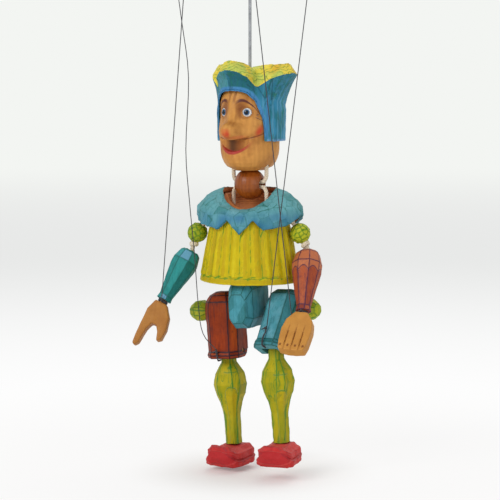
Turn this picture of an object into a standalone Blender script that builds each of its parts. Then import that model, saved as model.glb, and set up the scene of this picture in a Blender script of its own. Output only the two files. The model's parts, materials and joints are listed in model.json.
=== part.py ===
"""Carved jester string puppet: a jointed wooden figure hung from a hand control.

Lengths are in metres. The figure is laid out by its height above the sole of the
standing foot, faces -Y, has its own left on +X, and hangs with the inside top of
the control's hook at the origin.
"""

import math

import bmesh
import bpy
from mathutils import Matrix, Vector

# Fits
SEAT_GAP = 0.0003           # between pieces that touch
BORE_CLEARANCE = 0.0004     # radial, round a cord or pin that turns
SLOT_CLEARANCE = 0.0010     # each side of a knee tongue
CUT_PAST = 0.0020           # how far a cut runs past the face it opens

# Stance, above the sole of the standing foot
SHOE_HEIGHT = 0.0175
CALF_LENGTH = 0.0845        # knee pin to ankle
KNEE_DROP = 0.0360          # hip axis to knee pin
HIP_TRIM = 0.0020           # taken up by the ankle and the lean of the leg
HIP_HEIGHT = SHOE_HEIGHT + CALF_LENGTH + KNEE_DROP + HIP_TRIM
NECK_HEIGHT_RISE = 0.1120
NECK_HEIGHT = HIP_HEIGHT + NECK_HEIGHT_RISE

# Hand control
HOOK_RISE = 0.0330          # top of the handle to the inside top of the hook
HOOK_WIRE = 0.0030
HOOK_RADIUS = 0.0090        # wire centre line
HOOK_OFFSET = 0.0035        # neck of the hook beside the shank
HANDLE_BOTTOM_RISE = 0.3060
HANDLE_BOTTOM = HIP_HEIGHT + HANDLE_BOTTOM_RISE
HANDLE_LENGTH = 0.066
HANG_HEIGHT = HANDLE_BOTTOM + HANDLE_LENGTH + HOOK_RISE
HANDLE_RADIUS = 0.0125
HANDLE_WAIST = 0.0100
HANDLE_SIDES = 16
ROD_DIAMETER = 0.0028
ROD_SEAT_DEPTH = 0.020      # rod let into the handle
HOOK_SEAT_DEPTH = 0.010     # hook shank let into the handle
LEG_BAR_SPAN = 0.1252       # between its thread holes
LEG_BAR_END = 0.0050        # wood past each thread hole
LEG_BAR_DEPTH = 0.0100
LEG_BAR_THICKNESS = 0.0060
LEG_BAR_FORWARD = 0.0240    # centre of the bar in front of the rod
LEG_BAR_PIVOT = 0.0025      # pivot hole above the bar's centre line
PIVOT_HEIGHT_RISE = 0.0100
PIVOT_HEIGHT = HANDLE_BOTTOM + PIVOT_HEIGHT_RISE
PIVOT_PIN_DIAMETER = 0.0030
PIVOT_PIN_HEAD = 0.0065
PIVOT_PIN_HEAD_THICKNESS = 0.0020
PIVOT_PIN_SEAT = 0.0050     # pin let into the handle
BAR_ROUNDING = 0.0008
HAND_BAR_SPAN = 0.0510
HAND_BAR_END = 0.0045
HAND_BAR_DEPTH = 0.0100
HAND_BAR_THICKNESS = 0.0080
HAND_BAR_FORWARD = 0.090
HAND_ARM_HEIGHT_RISE = 0.0280
HAND_ARM_HEIGHT = HANDLE_BOTTOM + HAND_ARM_HEIGHT_RISE
HAND_ARM_DIAMETER = 0.0070
ARM_SEAT_DEPTH = 0.0060     # hand bar arm let into the handle and the bar

# Head and hat
HEAD_YAW = -16.0
HEAD_BOTTOM_RISE = 0.0120
HEAD_BOTTOM = NECK_HEIGHT + HEAD_BOTTOM_RISE
HEAD_TOP_RISE = 0.0705
HEAD_TOP = HEAD_BOTTOM + HEAD_TOP_RISE
HEAD_HALF_WIDTH = 0.0250
HEAD_HALF_DEPTH = 0.0285
NOSE_LENGTH = 0.0105
NOSE_HEIGHT_RISE = 0.0345
NOSE_HEIGHT = HEAD_BOTTOM + NOSE_HEIGHT_RISE
NOSE_HALF_WIDTH = 0.0085
NOSE_HALF_HEIGHT = 0.0085
NOSE_BRIDGE = 0.0037
CHEEK_BULGE = 0.0026
BROW_BULGE = 0.0014
EYE_HOLLOW = 0.0016
CHIN_BULGE = 0.0030
EYE_DIAMETER = 0.0095
EYE_SPREAD = 0.0113
EYE_HEIGHT_RISE = 0.0510
EYE_HEIGHT = HEAD_BOTTOM + EYE_HEIGHT_RISE
EYE_PROUD = 0.0014          # eye standing out of the face
MOUTH_HEIGHT_RISE = 0.0273
MOUTH_HEIGHT = HEAD_BOTTOM + MOUTH_HEIGHT_RISE
MOUTH_HALF_WIDTH = 0.0178
MOUTH_DROP = 0.0105
MOUTH_CURVE = 0.0045        # corners above the middle of the lip line
MOUTH_DEPTH = 0.0062
HAT_WALL = 0.0046
HAT_FRONT_WALL = 0.0022     # thinned round the face
HAT_SEAT = 0.0007           # hat's facets clear of the round head
HAT_BROW_DROP = 0.0010
HAT_BROW = HEAD_TOP - HAT_BROW_DROP
HAT_FLAP_RISE = 0.0260
HAT_FLAP = HEAD_BOTTOM + HAT_FLAP_RISE
HAT_FACE_ANGLE = 64.0       # half the face opening
HAT_VALLEY_RADIUS = 0.0300
HAT_FRONT_PEAK = 0.0370      # reach of each peak from the head's axis
HAT_BACK_PEAK = 0.0420
HAT_RIGHT_PEAK = 0.0355
HAT_LEFT_PEAK = 0.0455
HAT_VALLEY_HEIGHT_RISE = 0.0020
HAT_VALLEY_HEIGHT = HEAD_TOP + HAT_VALLEY_HEIGHT_RISE
HAT_PEAK_HEIGHT_RISE = 0.0145
HAT_PEAK_HEIGHT = HEAD_TOP + HAT_PEAK_HEIGHT_RISE
HAT_WAIST = 0.58            # share of the side's height that stays upright
HAT_WAIST_FLARE = 0.07      # share of the flare reached there
HAT_RIDGE_RISE = 0.0085     # yellow top bevel above the blue side
HAT_FRONT_RISE = 0.0025
HAT_CROWN_RISE = 0.0075
HAT_CROWN = HEAD_TOP + HAT_CROWN_RISE
HAT_CROWN_RADIUS = 0.0100
HAT_PEAK_BEVEL = 0.0060     # width of the yellow top bevel
HAT_VALLEY_BEVEL = 0.0105
HEAD_EYE_WIRE = 0.0016
HEAD_EYE_RADIUS = 0.0036
HEAD_EYE_SHANK = 0.0100
HEAD_DISH_CLEARANCE = 0.0010    # head over the neck ball

# Neck
NECK_BALL_RADIUS = 0.0140
NECK_HOLE_RADIUS = 0.0047
NECK_CORD_RADIUS = 0.0018
NECK_CORD_SPREAD = 0.0172
NECK_CORD_REACH = 0.0200    # ball centre to the cord's end in the wood
NECK_CORD_OFFSET = 0.0023   # cord run above or below the hole's centre

# Collar and tunic
COLLAR_WALL = 0.0038
COLLAR_NECK_WIDTH = 0.0235
COLLAR_NECK_DEPTH = 0.0215
COLLAR_NECK_BACK_DROP = 0.0030
COLLAR_NECK_BACK = NECK_HEIGHT - COLLAR_NECK_BACK_DROP
COLLAR_NECK_FRONT_DROP = 0.0210
COLLAR_NECK_FRONT = NECK_HEIGHT - COLLAR_NECK_FRONT_DROP
COLLAR_HALF_WIDTH = 0.0480
COLLAR_HALF_DEPTH = 0.0325
COLLAR_TIP_DROP = 0.0245
COLLAR_TIP = NECK_HEIGHT - COLLAR_TIP_DROP
COLLAR_POINT_FRONT_DROP = 0.0425
COLLAR_POINT_FRONT = NECK_HEIGHT - COLLAR_POINT_FRONT_DROP
COLLAR_POINT_SIDE_DROP = 0.0385
COLLAR_POINT_SIDE = NECK_HEIGHT - COLLAR_POINT_SIDE_DROP
COLLAR_VALLEY_DROP = 0.0305
COLLAR_VALLEY = NECK_HEIGHT - COLLAR_VALLEY_DROP
COLLAR_SHOULDER_DROP = 0.0350
COLLAR_SHOULDER = NECK_HEIGHT - COLLAR_SHOULDER_DROP
COLLAR_RIM_FRONT_DROP = 0.0275    # where the cape turns down to its points
COLLAR_RIM_FRONT = NECK_HEIGHT - COLLAR_RIM_FRONT_DROP
COLLAR_RIM_SIDE_DROP = 0.0190
COLLAR_RIM_SIDE = NECK_HEIGHT - COLLAR_RIM_SIDE_DROP
COLLAR_RIM_INSET = 0.0008
COLLAR_CROWN = 0.0028       # swell between neck and edge
COLLAR_SEAT = 0.0011        # tunic inside the collar's facets
TUNIC_HEM_RISE = 0.0230
TUNIC_HEM = HIP_HEIGHT + TUNIC_HEM_RISE
TUNIC_HEM_DIP = 0.0012
TUNIC_BAND = 0.0060
TUNIC_TOP_RISE = 0.0575
TUNIC_TOP = TUNIC_HEM + TUNIC_TOP_RISE
TUNIC_TOP_HALF_WIDTH = 0.0345
TUNIC_TOP_HALF_DEPTH = 0.0285
TUNIC_HEM_HALF_WIDTH = 0.0455
TUNIC_HEM_HALF_DEPTH = 0.0330
PLEAT_COUNT = 26
PLEAT_DEPTH = 0.0011
PLEAT_TUCK = 0.0040         # straight pleats end below the collar points
TUNIC_WALL = 0.0045
TUNIC_HOLLOW_RISE = 0.0210  # ceiling of the hollow over the pelvis
TUNIC_HOLLOW = TUNIC_HEM + TUNIC_HOLLOW_RISE
NECK_DISH_RADIUS = 0.0205
NECK_DISH_BOTTOM_DROP = 0.0250
NECK_DISH_BOTTOM = NECK_HEIGHT - NECK_DISH_BOTTOM_DROP

# Arms
SHOULDER_BALL_RADIUS = 0.0091
SHOULDER_CORD_RADIUS = 0.0020
SHOULDER_ROOT_LENGTH = 0.0252   # cord from the torso to the ball's centre
SHOULDER_DROP_LENGTH = 0.0170   # cord from the ball's centre to the sleeve
SHOULDER_KNOT_RADIUS = 0.0032
SHOULDER_KNOT_LENGTH = 0.0026
SHOULDER_DISH_RADIUS = 0.0028
SHOULDER_FORWARD = 0.0040
RIGHT_SHOULDER_X = -0.03126
RIGHT_SHOULDER_Z_DROP = 0.02437
RIGHT_SHOULDER_Z = NECK_HEIGHT - RIGHT_SHOULDER_Z_DROP
RIGHT_CORD_LEAN = 40.0      # cord above the ball, outward from upright
RIGHT_DROP_LEAN = 18.0      # cord below the ball
RIGHT_ARM_SWING = -22.0
RIGHT_ARM_LEAN = 25.0
RIGHT_SLEEVE_LENGTH = 0.0520
RIGHT_SLEEVE_WIDTH = 0.0240
LEFT_SHOULDER_X = 0.03189
LEFT_SHOULDER_Z_DROP = 0.02211
LEFT_SHOULDER_Z = NECK_HEIGHT - LEFT_SHOULDER_Z_DROP
LEFT_CORD_LEAN = -37.0
LEFT_DROP_LEAN = -26.0
LEFT_ARM_SWING = -31.0
LEFT_ARM_LEAN = -4.0
LEFT_SLEEVE_LENGTH = 0.0590
LEFT_SLEEVE_WIDTH = 0.0270
SLEEVE_DEPTH_SHARE = 0.92
SLEEVE_RISE = 0.0010        # sleeve above its pivot
SLEEVE_MOUTH = 0.0084       # funnel in which the cord bends as the arm swings
SLEEVE_MOUTH_DEPTH = 0.0056
WRIST_WIDTH = 0.0135
WRIST_PEG_RADIUS = 0.0028
WRIST_PEG_LENGTH = 0.0160
WRIST_GROOVE = 0.0032       # room for the thread ring between sleeve and hand
WRIST_RING_RADIUS = 0.0042
HAND_THICKNESS = 0.0100
HAND_ROUNDING = 0.0022
FINGER_GROOVE = 0.0009
RIGHT_HAND_LENGTH = 0.0445
RIGHT_HAND_WIDTH = 0.0200
LEFT_HAND_LENGTH = 0.0390
RIGHT_HAND_TILT = 0.0       # hand bent forward of its sleeve
LEFT_HAND_TILT = -10.0
LEFT_HAND_LEAN = 8.0        # fingers turned in
LEFT_HAND_WIDTH = 0.0272

# Pelvis and legs
PELVIS_X = 0.0020
PELVIS_Y = 0.0060
PELVIS_YAW = -9.0
PELVIS_ROLL = -4.0
PELVIS_HALF_WIDTH = 0.0115
PELVIS_FRONT = 0.0340
PELVIS_BACK = 0.0130
PELVIS_TOP = 0.0300
PELVIS_BOTTOM = 0.0138
WAIST_CORD_RADIUS = 0.0025
WAIST_SEAT_DEPTH = 0.0060
HIP_CORD_RADIUS = 0.0020
HIP_SIDE_PLAY = 0.0008
LEFT_HIP_PLAY = 0.0055      # left thigh pulled out along its cord
LEFT_HIP_YAW = -12.0
RIGHT_HIP_SWING = 0.0
LEFT_HIP_SWING = -32.0
THIGH_WIDTH = 0.0320
THIGH_DEPTH = 0.0330
THIGH_TOP = 0.0170
THIGH_BOTTOM = 0.0420
THIGH_RIM = 0.0012
THIGH_RIM_HEIGHT = 0.0030
KNEE_RELIEF = 0.0030        # back of the thigh cut away from here, behind the pin
KNEE_SLOT_ROOM = 0.0015     # slot above and before the tongue
KNEE_PIN_INSET = 0.0015
KNEE_PIN_RADIUS = 0.0015
KNEE_TONGUE_WIDTH = 0.0140
KNEE_TONGUE_RADIUS = 0.0062
KNOB_RADIUS = 0.0100
KNOB_LENGTH = 0.0180
CALF_NECK = 0.0100          # straight run below the knee pin
CALF_BULGE_WIDTH = 0.0285
CALF_ANKLE_WIDTH = 0.0145
ANKLE_DOWEL_RADIUS = 0.0025
ANKLE_DOWEL_LENGTH = 0.0160
SHOE_LENGTH = 0.0395
SHOE_WIDTH = 0.0290
SHOE_HEEL_BACK = 0.0150     # ankle axis to the back of the heel
SHOE_WELT = 0.0012
HEEL_NOTCH = 0.0045
ANKLE_RISE = 0.0006         # end of the calf above the shoe's nominal top
ANKLE_ROOM = 0.0010         # round the calf in its pocket
RIGHT_TOE_YAW = -15.0
LEFT_TOE_YAW = -3.0

# Threads
THREAD_RADIUS = 0.0004
LOOP_RADIUS = 0.0006
THREAD_KNOT_RADIUS = 0.0012
WRIST_KNOT_RADIUS = 0.0007
THREAD_GAP = 0.0004
RIGHT_LOOP_SHIFT = 0.0020   # loop inside the middle of its thigh
LEFT_LOOP_SHIFT = 0.0010
RIGHT_KNOT_RISE = 0.0075    # knot above the knee rim
LEFT_KNOT_RISE = 0.0150

SLACK_THREAD = [            # x, y and share of the drop along the slack leg thread
    (-0.0565, -0.0190, 0.157), (-0.0500, -0.0200, 0.300), (-0.0520, -0.0220, 0.483),
    (-0.0480, -0.0240, 0.617), (-0.0430, -0.0260, 0.745), (-0.0395, -0.0260, 0.879),
    (-0.0355, -0.0250, 0.952),
]

# Colours
WOOD = (0.55, 0.27, 0.10)
PALE_WOOD = (0.62, 0.36, 0.14)
STEEL = (0.30, 0.30, 0.32)
BLUE = (0.06, 0.22, 0.36)
TEAL = (0.07, 0.30, 0.33)
YELLOW = (0.62, 0.48, 0.04)
GREEN = (0.35, 0.40, 0.05)
TERRACOTTA = (0.42, 0.11, 0.05)
RUST = (0.31, 0.07, 0.02)
RED = (0.55, 0.06, 0.06)
COTTON = (0.75, 0.64, 0.48)
THREAD_GREY = (0.06, 0.06, 0.07)
EYE_WHITE = (0.85, 0.85, 0.85)

for stale in list(bpy.data.objects):
    bpy.data.objects.remove(stale, do_unlink=True)

PARTS = bpy.data.collections.new("jester_puppet")
CUTTERS = bpy.data.collections.new("cutters")
bpy.context.scene.collection.children.link(PARTS)
bpy.context.scene.collection.children.link(CUTTERS)


# Shared tools

def paint(obj, colour, roughness=0.55, metallic=0.0):
    """Give an object its own plain material."""
    material = bpy.data.materials.new(obj.name)
    material.use_nodes = True
    shader = material.node_tree.nodes["Principled BSDF"]
    shader.inputs["Base Color"].default_value = (*colour, 1.0)
    shader.inputs["Roughness"].default_value = roughness
    shader.inputs["Metallic"].default_value = metallic
    obj.data.materials.clear()
    obj.data.materials.append(material)


def frame(name, parent, location, turn=(0.0, 0.0, 0.0)):
    """Empty that carries pieces, turned by degrees about X, then Y, then Z."""
    empty = bpy.data.objects.new(name, None)
    PARTS.objects.link(empty)
    empty.parent = parent
    empty.location = location
    empty.rotation_euler = [math.radians(angle) for angle in turn]
    bpy.context.view_layer.update()
    return empty


def place(name, mesh, parent, colour, **finish):
    """Named part from a mesh, in its parent's frame."""
    obj = bpy.data.objects.new(name, mesh)
    PARTS.objects.link(obj)
    obj.parent = parent
    paint(obj, colour, **finish)
    mesh.shade_smooth()
    mesh.set_sharp_from_angle(angle=math.radians(24.0))
    return obj


def to_mesh(bm, name):
    """Finished mesh from an edit mesh, faces out."""
    bmesh.ops.recalc_face_normals(bm, faces=bm.faces)
    mesh = bpy.data.meshes.new(name)
    bm.to_mesh(mesh)
    bm.free()
    return mesh


def loft(rings, name, closed=False):
    """Solid through rings of equal counts: capped at both ends, or closed on itself."""
    bm = bmesh.new()
    loops = [[bm.verts.new(point) for point in ring] for ring in rings]
    pairs = list(zip(loops, loops[1:]))
    if closed:
        pairs.append((loops[-1], loops[0]))
    count = len(loops[0])
    for first, second in pairs:
        for i in range(count):
            j = (i + 1) % count
            bm.faces.new((first[i], first[j], second[j], second[i]))
    if not closed:
        for loop in (loops[0], loops[-1]):
            centre = bm.verts.new(sum((v.co for v in loop), Vector()) / count)
            for i in range(count):
                bm.faces.new((loop[i], loop[(i + 1) % count], centre))
    return to_mesh(bm, name)


def turned(profile, steps, name, depth_share=1.0):
    """Solid of revolution from (radius, z) points, top first, flattened in depth."""
    bm = bmesh.new()
    points = [bm.verts.new((radius, 0.0, z)) for radius, z in profile]
    for upper, lower in zip(points, points[1:]):
        bm.edges.new((upper, lower))
    mesh = bpy.data.meshes.new(name)
    bm.to_mesh(mesh)
    bm.free()
    spun = bpy.data.objects.new(name + "_profile", mesh)
    bpy.context.scene.collection.objects.link(spun)
    screw = spun.modifiers.new("turn", "SCREW")
    screw.axis = "Z"
    screw.steps = steps
    screw.render_steps = steps
    screw.use_merge_vertices = True
    screw.merge_threshold = 0.00001
    solid = baked(spun)
    half_step = math.pi / steps
    solid.transform(Matrix.Rotation(half_step, 4, "Z"))
    solid.transform(Matrix.Scale(depth_share, 4, (0.0, 1.0, 0.0)))
    return solid


def baked(obj):
    """Evaluated mesh of a temporary object, which is removed."""
    bpy.context.view_layer.update()
    graph = bpy.context.evaluated_depsgraph_get()
    mesh = bpy.data.meshes.new_from_object(obj.evaluated_get(graph))
    bm = bmesh.new()
    bm.from_mesh(mesh)
    bmesh.ops.remove_doubles(bm, verts=bm.verts, dist=0.000005)
    bmesh.ops.recalc_face_normals(bm, faces=bm.faces)
    bm.to_mesh(mesh)
    bm.free()
    bpy.data.objects.remove(obj, do_unlink=True)
    return mesh


def tube(name, points, radius, bulges=None, sides=2):
    """Tube mesh along points, with a radius factor at chosen points."""
    curve = bpy.data.curves.new(name, "CURVE")
    curve.dimensions = "3D"
    curve.bevel_depth = radius
    curve.bevel_resolution = sides
    curve.use_fill_caps = True
    spline = curve.splines.new("POLY")
    spline.points.add(len(points) - 1)
    for index, (slot, point) in enumerate(zip(spline.points, points)):
        slot.co = (*point, 1.0)
        slot.radius = (bulges or {}).get(index, 1.0)
    holder = bpy.data.objects.new(name, curve)
    bpy.context.scene.collection.objects.link(holder)
    return baked(holder)


def smooth_route(points, per_span):
    """Points read from a smooth curve through a route's own points."""
    route = [Vector(p) for p in points]
    ends = [2 * route[0] - route[1], *route, 2 * route[-1] - route[-2]]
    out = []
    for a, b, c, d in zip(ends, ends[1:], ends[2:], ends[3:]):
        for step in range(per_span):
            t = step / per_span
            out.append(0.5 * (2 * b + (c - a) * t + (2 * a - 5 * b + 4 * c - d) * t ** 2
                              + (3 * b - a - 3 * c + d) * t ** 3))
    out.append(route[-1])
    return out


def slab(name, outline, thickness, bevel):
    """Flat outline in X and Z, given a thickness in Y and rounded edges."""
    curve = bpy.data.curves.new(name, "CURVE")
    curve.dimensions = "2D"
    curve.fill_mode = "BOTH"
    curve.extrude = thickness / 2
    spline = curve.splines.new("POLY")
    spline.points.add(len(outline) - 1)
    for slot, (x, z) in zip(spline.points, outline):
        slot.co = (x, z, 0.0, 1.0)
    spline.use_cyclic_u = True
    holder = bpy.data.objects.new(name, curve)
    bpy.context.scene.collection.objects.link(holder)
    mesh = baked(holder)
    mesh.transform(Matrix.Rotation(math.pi / 2, 4, "X"))
    if bevel > 0.0:
        rounded = bpy.data.objects.new(name, mesh)
        bpy.context.scene.collection.objects.link(rounded)
        edge = rounded.modifiers.new("rounding", "BEVEL")
        edge.width = bevel
        edge.segments = 2
        edge.limit_method = "ANGLE"
        edge.angle_limit = math.radians(50.0)
        mesh = baked(rounded)
    return mesh


def box(size, centre, name="box"):
    """Box mesh of a size about a centre."""
    bm = bmesh.new()
    bmesh.ops.create_cube(bm, size=1.0)
    bmesh.ops.scale(bm, vec=size, verts=bm.verts)
    bmesh.ops.translate(bm, vec=centre, verts=bm.verts)
    return to_mesh(bm, name)


def cylinder(radius, start, end, sides=16, name="cylinder"):
    """Cylinder mesh between two points."""
    start, end = Vector(start), Vector(end)
    along = end - start
    turn = Vector((0.0, 0.0, 1.0)).rotation_difference(along).to_matrix().to_4x4()
    bm = bmesh.new()
    bmesh.ops.create_cone(bm, cap_ends=True, segments=sides, radius1=radius, radius2=radius,
                          depth=along.length, matrix=Matrix.Translation((start + end) / 2) @ turn)
    return to_mesh(bm, name)


def sphere(radius, centre, columns=16, rows=10, name="sphere"):
    """Sphere mesh about a centre."""
    bm = bmesh.new()
    bmesh.ops.create_uvsphere(bm, u_segments=columns, v_segments=rows, radius=radius,
                              matrix=Matrix.Translation(centre))
    return to_mesh(bm, name)


def cut(obj, mesh, operation="DIFFERENCE"):
    """Take a hidden cutter, in the frame of an object's parent, out of the object."""
    cutter = bpy.data.objects.new(obj.name + "_cutter", mesh)
    CUTTERS.objects.link(cutter)
    cutter.parent = obj.parent
    cutter.hide_render = True
    cutter.display_type = "WIRE"
    boolean = obj.modifiers.new("cut", "BOOLEAN")
    boolean.operation = operation
    boolean.solver = "EXACT"
    boolean.object = cutter


def octagon(half_x, half_y, z, corner=0.42):
    """Eight points of a block with cut corners, in a level plane."""
    inner_x = half_x * (1.0 - corner)
    inner_y = half_y * (1.0 - corner)
    corners = [(half_x, inner_y), (inner_x, half_y)]
    points = []
    for sx, sy, order in ((1, 1, 1), (-1, 1, -1), (-1, -1, 1), (1, -1, -1)):
        for x, y in corners[::order]:
            points.append(Vector((sx * x, sy * y, z)))
    return points


def blend(low, high, share):
    """Value between two others."""
    return low + (high - low) * share


# Hand control

def control(root):
    """Turned handle with its hook and rod, the rocking leg bar and the hand bar."""
    top = HANDLE_BOTTOM + HANDLE_LENGTH
    profile = [(0.0, top), (HANDLE_WAIST * 0.7, top), (HANDLE_WAIST, top - 0.4 * HANDLE_WAIST),
               (HANDLE_RADIUS, blend(top, HANDLE_BOTTOM, 0.22)),
               (HANDLE_WAIST, blend(top, HANDLE_BOTTOM, 0.48)),
               (HANDLE_RADIUS, blend(top, HANDLE_BOTTOM, 0.72)),
               (HANDLE_RADIUS, blend(top, HANDLE_BOTTOM, 0.90)),
               (HANDLE_WAIST, HANDLE_BOTTOM), (0.0, HANDLE_BOTTOM)]
    handle = place("control_handle", turned(profile, HANDLE_SIDES, "control_handle"), root, PALE_WOOD)
    rod_radius = ROD_DIAMETER / 2
    rod_top = HANDLE_BOTTOM + ROD_SEAT_DEPTH
    cut(handle, cylinder(rod_radius + SEAT_GAP, (0, 0, HANDLE_BOTTOM - CUT_PAST),
                         (0, 0, rod_top + SEAT_GAP)))
    wire = HOOK_WIRE / 2
    shank_low = top - HOOK_SEAT_DEPTH
    cut(handle, cylinder(wire + SEAT_GAP, (0, 0, shank_low - SEAT_GAP), (0, 0, top + CUT_PAST)))

    centre = HANG_HEIGHT - HOOK_RADIUS + wire
    angles = [math.radians(-60.0 + 22.0 * step) for step in range(14)]
    bend = [(-HOOK_RADIUS * math.sin(a), 0.0, centre - HOOK_RADIUS * math.cos(a)) for a in angles]
    shank = [(0, 0, shank_low), (0, 0, blend(shank_low, centre, 0.55)),
             (HOOK_OFFSET, 0, centre - HOOK_RADIUS * 1.15)]
    hook_mesh = tube("hanging_hook", shank + bend, wire)
    place("hanging_hook", hook_mesh, root, STEEL, roughness=0.3, metallic=1.0)

    rod_low = HEAD_TOP + 2 * HEAD_EYE_RADIUS + HEAD_EYE_WIRE + 2 * SEAT_GAP
    rod_mesh = cylinder(rod_radius, (0, 0, rod_low), (0, 0, rod_top), 12)
    place("control_rod", rod_mesh, root, STEEL, roughness=0.35, metallic=1.0)

    pivot = Vector((0, -LEG_BAR_FORWARD, PIVOT_HEIGHT))
    rocker = frame("leg_bar_axis", root, pivot)
    half = LEG_BAR_SPAN / 2 + LEG_BAR_END
    low = -LEG_BAR_PIVOT - 0.5 * LEG_BAR_DEPTH
    high = -LEG_BAR_PIVOT + 0.5 * LEG_BAR_DEPTH
    tip_low = low + 0.2 * LEG_BAR_DEPTH
    tip_high = high - 0.4 * LEG_BAR_DEPTH
    nose = half - 0.3 * LEG_BAR_DEPTH
    outline = [(-half, tip_low), (-nose, low), (nose, low), (half, tip_low), (half, tip_high),
               (LEG_BAR_DEPTH, high), (-LEG_BAR_DEPTH, high), (-half, tip_high)]
    bar = place("leg_bar", slab("leg_bar", outline, LEG_BAR_THICKNESS, BAR_ROUNDING), rocker, PALE_WOOD)
    pin_radius = PIVOT_PIN_DIAMETER / 2
    past = LEG_BAR_THICKNESS / 2 + CUT_PAST
    cut(bar, cylinder(pin_radius + BORE_CLEARANCE, (0, -past, 0), (0, past, 0)))
    head_radius = PIVOT_PIN_HEAD / 2
    head_back = LEG_BAR_THICKNESS / 2 + SEAT_GAP
    head_front = head_back + PIVOT_PIN_HEAD_THICKNESS
    handle_face = LEG_BAR_FORWARD - HANDLE_RADIUS * math.cos(math.pi / HANDLE_SIDES)
    pin_end = handle_face + PIVOT_PIN_SEAT
    pin_profile = [(0.0, head_front), (head_radius, head_front), (head_radius, head_back),
                   (pin_radius, head_back), (pin_radius, -pin_end), (0.0, -pin_end)]
    pin_mesh = turned(pin_profile, 12, "leg_bar_pin")
    pin_mesh.transform(Matrix.Rotation(math.radians(90.0), 4, "X"))
    place("leg_bar_pin", pin_mesh, rocker, STEEL, roughness=0.3, metallic=1.0)
    spacer = cylinder(head_radius, (0, head_back, 0), (0, handle_face - SEAT_GAP, 0))
    washer = place("leg_bar_washer", spacer, rocker, PALE_WOOD)
    cut(washer, cylinder(pin_radius + SEAT_GAP, (0, 0, 0), (0, LEG_BAR_FORWARD, 0)))
    cut(handle, cylinder(pin_radius + SEAT_GAP, pivot, pivot + Vector((0, pin_end + SEAT_GAP, 0))))

    arm_back = -HANDLE_WAIST + ARM_SEAT_DEPTH
    bar_back = -HAND_BAR_FORWARD + HAND_BAR_THICKNESS / 2
    arm_front = bar_back - ARM_SEAT_DEPTH
    arm_radius = HAND_ARM_DIAMETER / 2
    arm_start = Vector((0, arm_back, HAND_ARM_HEIGHT))
    arm_end = Vector((0, arm_front, HAND_ARM_HEIGHT))
    place("hand_bar_arm", cylinder(arm_radius, arm_start, arm_end, 14), root, PALE_WOOD)
    seat = Vector((0, SEAT_GAP, 0))
    cut(handle, cylinder(arm_radius + SEAT_GAP, arm_start + seat, arm_end))
    half = HAND_BAR_SPAN / 2 + HAND_BAR_END
    depth = HAND_BAR_DEPTH / 2
    outline = [(-half, -0.6 * depth), (-half + 0.4 * depth, -depth), (half - 0.4 * depth, -depth),
               (half, -0.6 * depth), (half, 0.6 * depth), (half - 0.4 * depth, depth),
               (-half + 0.4 * depth, depth), (-half, 0.6 * depth)]
    bar_mesh = slab("hand_bar", outline, HAND_BAR_THICKNESS, BAR_ROUNDING)
    bar_mesh.transform(Matrix.Translation((0, -HAND_BAR_FORWARD, HAND_ARM_HEIGHT)))
    hand_bar = place("hand_bar", bar_mesh, root, PALE_WOOD)
    cut(hand_bar, cylinder(arm_radius + SEAT_GAP, arm_end - seat, arm_start))


# Head and hat

def head_half_sizes(z):
    """Half width and half depth of the plain head block at a height."""
    share = (z - HEAD_BOTTOM) / (HEAD_TOP - HEAD_BOTTOM)
    lower = min(1.0, share / 0.30)
    upper = max(0.0, (share - 0.62) / 0.38)
    jaw = 0.42 + 0.58 * math.sqrt(1.0 - (1.0 - lower) ** 2)
    crown = math.sqrt(max(0.0, 1.0 - (0.42 * upper ** 1.6) ** 2))
    return HEAD_HALF_WIDTH * jaw * crown, HEAD_HALF_DEPTH * jaw ** 0.7 * crown


def bump(x, z, centre_x, centre_z, width, height):
    """Rounded swell that fades out from a centre."""
    return math.exp(-((x - centre_x) / width) ** 2 - ((z - centre_z) / height) ** 2)


def face_point(angle, z):
    """Point of the head's surface at an angle from straight ahead and a height."""
    half_width, half_depth = head_half_sizes(z)
    x = half_width * math.sin(angle)
    y = -half_depth * math.cos(angle)
    if y < 0.0:
        half = HEAD_HALF_WIDTH
        chin = HEAD_BOTTOM + 0.36 * half
        bridge = EYE_HEIGHT - 0.5 * EYE_DIAMETER
        out = NOSE_LENGTH * bump(x, z, 0.0, NOSE_HEIGHT, NOSE_HALF_WIDTH, NOSE_HALF_HEIGHT)
        out += NOSE_BRIDGE * bump(x, z, 0.0, bridge, 0.6 * NOSE_HALF_WIDTH, 1.3 * NOSE_HALF_HEIGHT)
        out += CHIN_BULGE * bump(x, z, 0.0, chin, 0.44 * half, 0.26 * half)
        for side in (-1.0, 1.0):
            eye = side * EYE_SPREAD
            hollow = 0.63 * EYE_DIAMETER
            out -= EYE_HOLLOW * bump(x, z, eye, EYE_HEIGHT, hollow, hollow)
            out += CHEEK_BULGE * bump(x, z, side * 0.76 * half, NOSE_HEIGHT, 0.28 * half, 0.28 * half)
            out += BROW_BULGE * bump(x, z, eye, EYE_HEIGHT + EYE_DIAMETER, 0.84 * EYE_DIAMETER,
                                     0.37 * EYE_DIAMETER)
        y -= out
    return Vector((x, y, z))


def mouth_outline():
    """Open smile: a shallow upper lip line over a deeper lower arc."""
    steps = 10
    upper = []
    lower = []
    for i in range(steps + 1):
        across = -1.0 + 2.0 * i / steps
        lift = MOUTH_CURVE * across ** 2
        upper.append((across * MOUTH_HALF_WIDTH, MOUTH_HEIGHT + lift))
        fall = MOUTH_DROP * math.sqrt(max(0.0, 1.0 - across ** 2))
        lower.append((across * MOUTH_HALF_WIDTH, MOUTH_HEIGHT + lift - fall))
    return upper + lower[-2:0:-1]


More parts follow.
